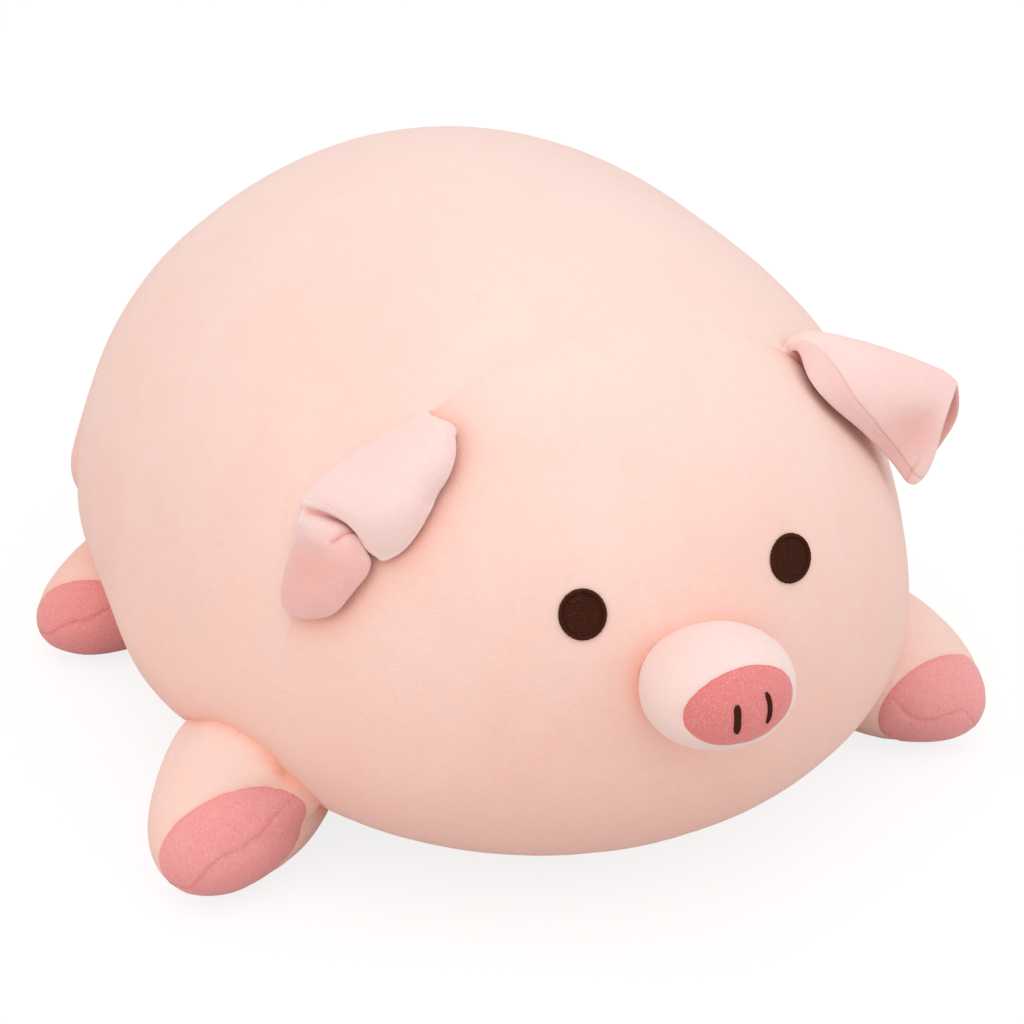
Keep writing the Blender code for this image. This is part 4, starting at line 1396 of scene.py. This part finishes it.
def sew(name, lines, material, radius, waver, seed):
    """Makes one piece of thread from laid lines, each a list of points."""
    mesh = bpy.data.meshes.new(name)
    points, pairs = [], []
    for line in lines:
        first = len(points)
        points += [tuple(point) for point in line]
        pairs += [(first + k, first + k + 1) for k in range(len(line) - 1)]
    mesh.from_pydata(points, pairs, [])
    obj = bpy.data.objects.new(name, mesh)
    scene.collection.objects.link(obj)
    modifier = obj.modifiers.new("sewn_thread", "NODES")
    modifier.node_group = sewn_thread
    values = {"Thread Radius": radius, "Waver": waver, "Seed": seed, "Thread": material}
    for item in sewn_thread.interface.items_tree:
        if item.in_out == "INPUT" and item.name in values:
            modifier[item.identifier] = values[item.name]
    apply_live(obj)
    obj.data.shade_smooth()
    return obj


def laid_stitch(start, end, out, lift, sink):
    """One stitch: it comes up out of the fabric, lies on it, and goes down again."""
    return [
        start - out * sink,
        start.lerp(end, 0.18) + out * lift,
        start.lerp(end, 0.5) + out * lift * 1.25,
        start.lerp(end, 0.82) + out * lift,
        end - out * sink,
    ]


face_tree = tree_of(covers["face_cover"])
nose_tree = tree_of(nose)

eye_sizes = {"left": (0.0127, 0.0112), "right": (0.0108, 0.0116)}
eye_border = 0.0019
border_pitch = 0.00052
eye_pitch = 0.00040
eye_row_angle = math.radians(12.0)
eye_stitch_length = 0.0036
eye_row_shift = 0.37
shortest_stitch_share = 0.04
probe_height = 0.02
border_jag = 0.030
border_overlap = 0.03


def stitched_eye(name, centre, out, size, seed):
    """An oval of parallel rows of stitches inside a raised ring of satin stitch."""
    side = Vector((0.0, 0.0, 1.0)).cross(out).normalized()
    above = out.cross(side)

    def on_face(across, up):
        """A place given on a disc 1 in radius, set on the face."""
        spot = centre + side * across * size[0] + above * up * size[1]
        return face_tree.ray_cast(spot + out * probe_height, -out)[0]

    lines = []
    radius = 0.5 * (size[0] + size[1])
    inner = 1.0 - (eye_border - 0.0002) / radius
    rows = int(2.0 * inner * radius / eye_pitch)
    across, up = math.cos(eye_row_angle), math.sin(eye_row_angle)
    stitch = eye_stitch_length / radius
    for row in range(rows + 1):
        height = -inner + row * eye_pitch / radius
        half = math.sqrt(max(inner * inner - height * height, 0.0))
        start = -half - stitch * ((row * eye_row_shift) % 1.0)
        while start < half:
            ends = [max(start, -half), min(start + stitch, half)]
            start += stitch
            if ends[1] - ends[0] < shortest_stitch_share:
                continue
            places = [on_face(end * across - height * up, end * up + height * across) for end in ends]
            lines.append(laid_stitch(*places, out, lift=0.00038, sink=0.0001))
    count = int(2.0 * math.pi * (radius - 0.5 * eye_border) / border_pitch)
    for k in range(count):
        angle = 2.0 * math.pi * k / count
        jag = border_jag * noise.noise((k * 0.71, float(seed), 0.0))
        reaches = (inner - border_overlap, 1.0 + jag)
        near = [on_face(reach * math.cos(angle), reach * math.sin(angle)) for reach in reaches]
        lines.append(laid_stitch(*near, out, lift=0.00115, sink=0.0003))
    return sew(name, lines, brown_thread, radius=0.00031, waver=0.00004, seed=seed)


# Each nostril is one bar of satin stitch: its middle, half length, half width and bow, in the snout's frame.
nostril_bars = {
    "left": (0.0082, -0.0002, 0.0074, 0.0014, 0.0014),
    "right": (-0.0064, -0.0023, 0.0071, 0.0018, 0.0),
}
nostril_stitches = 40

for side_name in ("left", "right"):
    low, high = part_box("eye_" + side_name)
    guess = 0.5 * (low + high)
    out = skin.find_nearest(guess)[1]
    seed = 3 if side_name == "left" else 4
    eye = stitched_eye(f"eye_{side_name}_thread", guess, out, eye_sizes[side_name], seed)
    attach(eye, "body")
    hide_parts("eye_" + side_name)

    right, above, half_length, half_width, bow = nostril_bars[side_name]
    bars = []
    for k in range(nostril_stitches):
        share = 2.0 * (k + 0.5) / nostril_stitches - 1.0
        reach = half_width * (1.0 - abs(share) ** 8.0) * (1.0 + 0.12 * noise.noise((k * 0.9, 2.0, 0.0)))
        reach = max(reach, 0.4 * half_width)
        ends = []
        for edge in (-reach, reach):
            aside = right + edge + bow * (1.0 - share * share)
            spot = snout_frame @ Vector((aside, 0.0, above + half_length * share))
            ends.append(nose_tree.ray_cast(spot + snout_axis * 0.06, -snout_axis)[0])
        bars.append(laid_stitch(*ends, snout_axis, lift=0.0006, sink=0.0003))
    nostril = sew(f"nostril_{side_name}_thread", bars, brown_thread, radius=0.00024, waver=0.00004, seed=8)
    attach(nostril, "body")
    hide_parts("nostril_" + side_name)


def seam_stitches(line, pitch, reach, lift, sink):
    """Short stitches laid across a seam, each a little askew."""
    walked, laid, due = 0.0, [], 0.5 * pitch
    for (place, out), (following, next_out) in zip(line, line[1:]):
        step = (following - place).length
        while walked + step > due:
            share = (due - walked) / step
            middle, up = place.lerp(following, share), out.lerp(next_out, share).normalized()
            way = (following - place).normalized()
            across = (up.cross(way) + way * 0.35 * noise.noise((due * 900.0, 0.0, 1.0))).normalized()
            laid.append(laid_stitch(middle - across * reach, middle + across * reach, up, lift, sink))
            due += pitch
        walked += step
    return laid


# The halves of each hoof are closed by hand with a ladder of short stitches, nearly lost in the pile.
for name, line in hoof_seams.items():
    laid = seam_stitches(line, pitch=0.0019, reach=0.00065, lift=0.00018, sink=0.0004)
    thread = sew(f"{name}_hoof_seam_thread", laid, coral_thread, radius=0.00013, waver=0.00003, seed=5)
    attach(thread, "body")

laid = seam_stitches(ear_seam, pitch=0.0020, reach=0.0005, lift=0.00012, sink=0.0003)
thread = sew("ear_left_seam_thread", laid, lining_thread, radius=0.00011, waver=0.00003, seed=6)
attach(thread, "ear_left")


# Tail
# A narrow tube of plush, turned, lightly filled and curled once, sewn to the rump by its thin root.

tail_radius = 0.0048
tail_run = 0.011
tail_run_share = 0.16
tail_smoothings = 10
tail_curl_radius = 0.0115
tail_curl_drift = 0.009
tail_curl_turns = 1.2
tail_tip_share = 0.5
tail_rings = 120
tail_sides = 28
tail_seam_turn = 2.2
tail_root_share = 0.10
tail_neck, tail_fullness = 0.42, 0.58
tail_cap_start, tail_cap_run = 0.955, 0.045

tail_root = hinge_spots["tail_sway"]


def tail_middle(share):
    """The tail's middle line from its root at 0 to its tip at 1."""
    if share < tail_run_share:
        return tail_root + Vector((0.0, tail_run * (share / tail_run_share), 0.0))
    curl = (share - tail_run_share) / (1.0 - tail_run_share)
    angle = 2.0 * math.pi * tail_curl_turns * curl
    return tail_root + Vector(
        (
            tail_curl_radius * math.sin(angle),
            tail_run + tail_curl_drift * curl,
            tail_curl_radius * (1.0 - math.cos(angle)),
        )
    )


middles = [tail_middle(k / (tail_rings - 1)) for k in range(tail_rings)]
for again in range(tail_smoothings):
    middles = [middles[0]] + [
        0.25 * a + 0.5 * b + 0.25 * c for a, b, c in zip(middles, middles[1:], middles[2:])
    ] + [middles[-1]]
tail_bm = bmesh.new()
tail_shade = tail_bm.verts.layers.float.new("painted_light_and_tone")
rows = []
across = Vector((1.0, 0.0, 0.0))
for k, middle in enumerate(middles):
    share = k / (tail_rings - 1)
    way = (middles[min(k + 1, tail_rings - 1)] - middles[max(k - 1, 0)]).normalized()
    across = (across - way * across.dot(way)).normalized()
    other = way.cross(across)
    full = tail_neck + tail_fullness * min(1.0, share / tail_root_share)
    slim = 1.0 + (tail_tip_share - 1.0) * max(0.0, share - 0.1) / 0.9
    cap = math.sqrt(max(0.0, 1.0 - max(0.0, (share - tail_cap_start) / tail_cap_run) ** 2))
    row = []
    for j in range(tail_sides):
        angle = 2.0 * math.pi * j / tail_sides
        seam = fade(math.remainder(angle - tail_seam_turn, 2.0 * math.pi), 0.25)
        radius = tail_radius * full * slim * max(cap, 0.02) - 0.0006 * seam * cap
        spot = middle + (across * math.cos(angle) + other * math.sin(angle)) * radius
        spot += (spot - middle) * 0.08 * wander(spot, 0.006, 4.0)
        vert = tail_bm.verts.new(spot)
        # Painted shade along the tail's seam and at its root on the rump.
        vert[tail_shade] = min(1.0, 0.5 * seam + 0.7 * fade(share, 0.03))
        row.append(vert)
    rows.append(row)
bridge(tail_bm, rows)
tail_bm.faces.new(rows[0])
tail_bm.faces.new(rows[-1])
bmesh.ops.recalc_face_normals(tail_bm, faces=tail_bm.faces)
face_outwards(tail_bm)
tail = add_piece("tail_plush", tail_bm, peach_plush)
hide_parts("tail")
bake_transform(tail, "body", "tail", start=tail_root, end=tail_root + Vector((0.0, 0.008, 0.0)))


# Filling
# Loose polyester fibre, blown in through a gap in the belly seam. It packs into soft lumps.


def fibre_material():
    """Teased white fibre, matt and a little downy."""
    material, tree, shader, place = fabric("fibre_filling")
    calc = partial(math_node, tree)
    strands = noise_node(tree, place, 420.0, 6.0, 2.5)
    mixed = colour_mix(tree, strands, (0.78, 0.78, 0.76, 1.0), (0.95, 0.95, 0.93, 1.0))
    wire(tree, shader, mixed, calc("ADD", calc("MULTIPLY", strands, 0.1), 0.88), strands, 1.0, 0.001)
    shader.inputs["Sheen Weight"].default_value = 0.5
    return material


fibre_filling = fibre_material()
fill_gap = 0.0008
fill_watch = 0.015
fill_sink = 0.0012
fill_lump = 0.0009
for node in sorted(frame["nodes"]):
    if not node.endswith("stuffing"):
        continue
    bm = bmesh.new()
    bm.from_mesh(frame["nodes"][node].data)
    bmesh.ops.remove_doubles(bm, verts=bm.verts, dist=1e-6)
    cuts = 1 if node == "body_stuffing" else 2
    bmesh.ops.subdivide_edges(bm, edges=bm.edges, cuts=cuts, use_grid_fill=True)
    bm.normal_update()
    moves = [-vert.normal * (fill_sink + fill_lump * wander(vert.co, 0.011, 13.0)) for vert in bm.verts]
    for vert, move in zip(bm.verts, moves):
        vert.co += move
    around = foot_skins.get(node.removesuffix("_stuffing"))
    for vert in bm.verts if around else ():
        near, normal, index, distance = around.find_nearest(vert.co)
        inside = (near - vert.co).dot(normal)
        if inside < cover_thickness + fill_gap and distance < fill_watch:
            vert.co = near - normal * (cover_thickness + fill_gap)
    filling = add_piece(node + "_fibre", bm, fibre_filling)
    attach(filling, "body")
    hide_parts(node)

low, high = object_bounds()
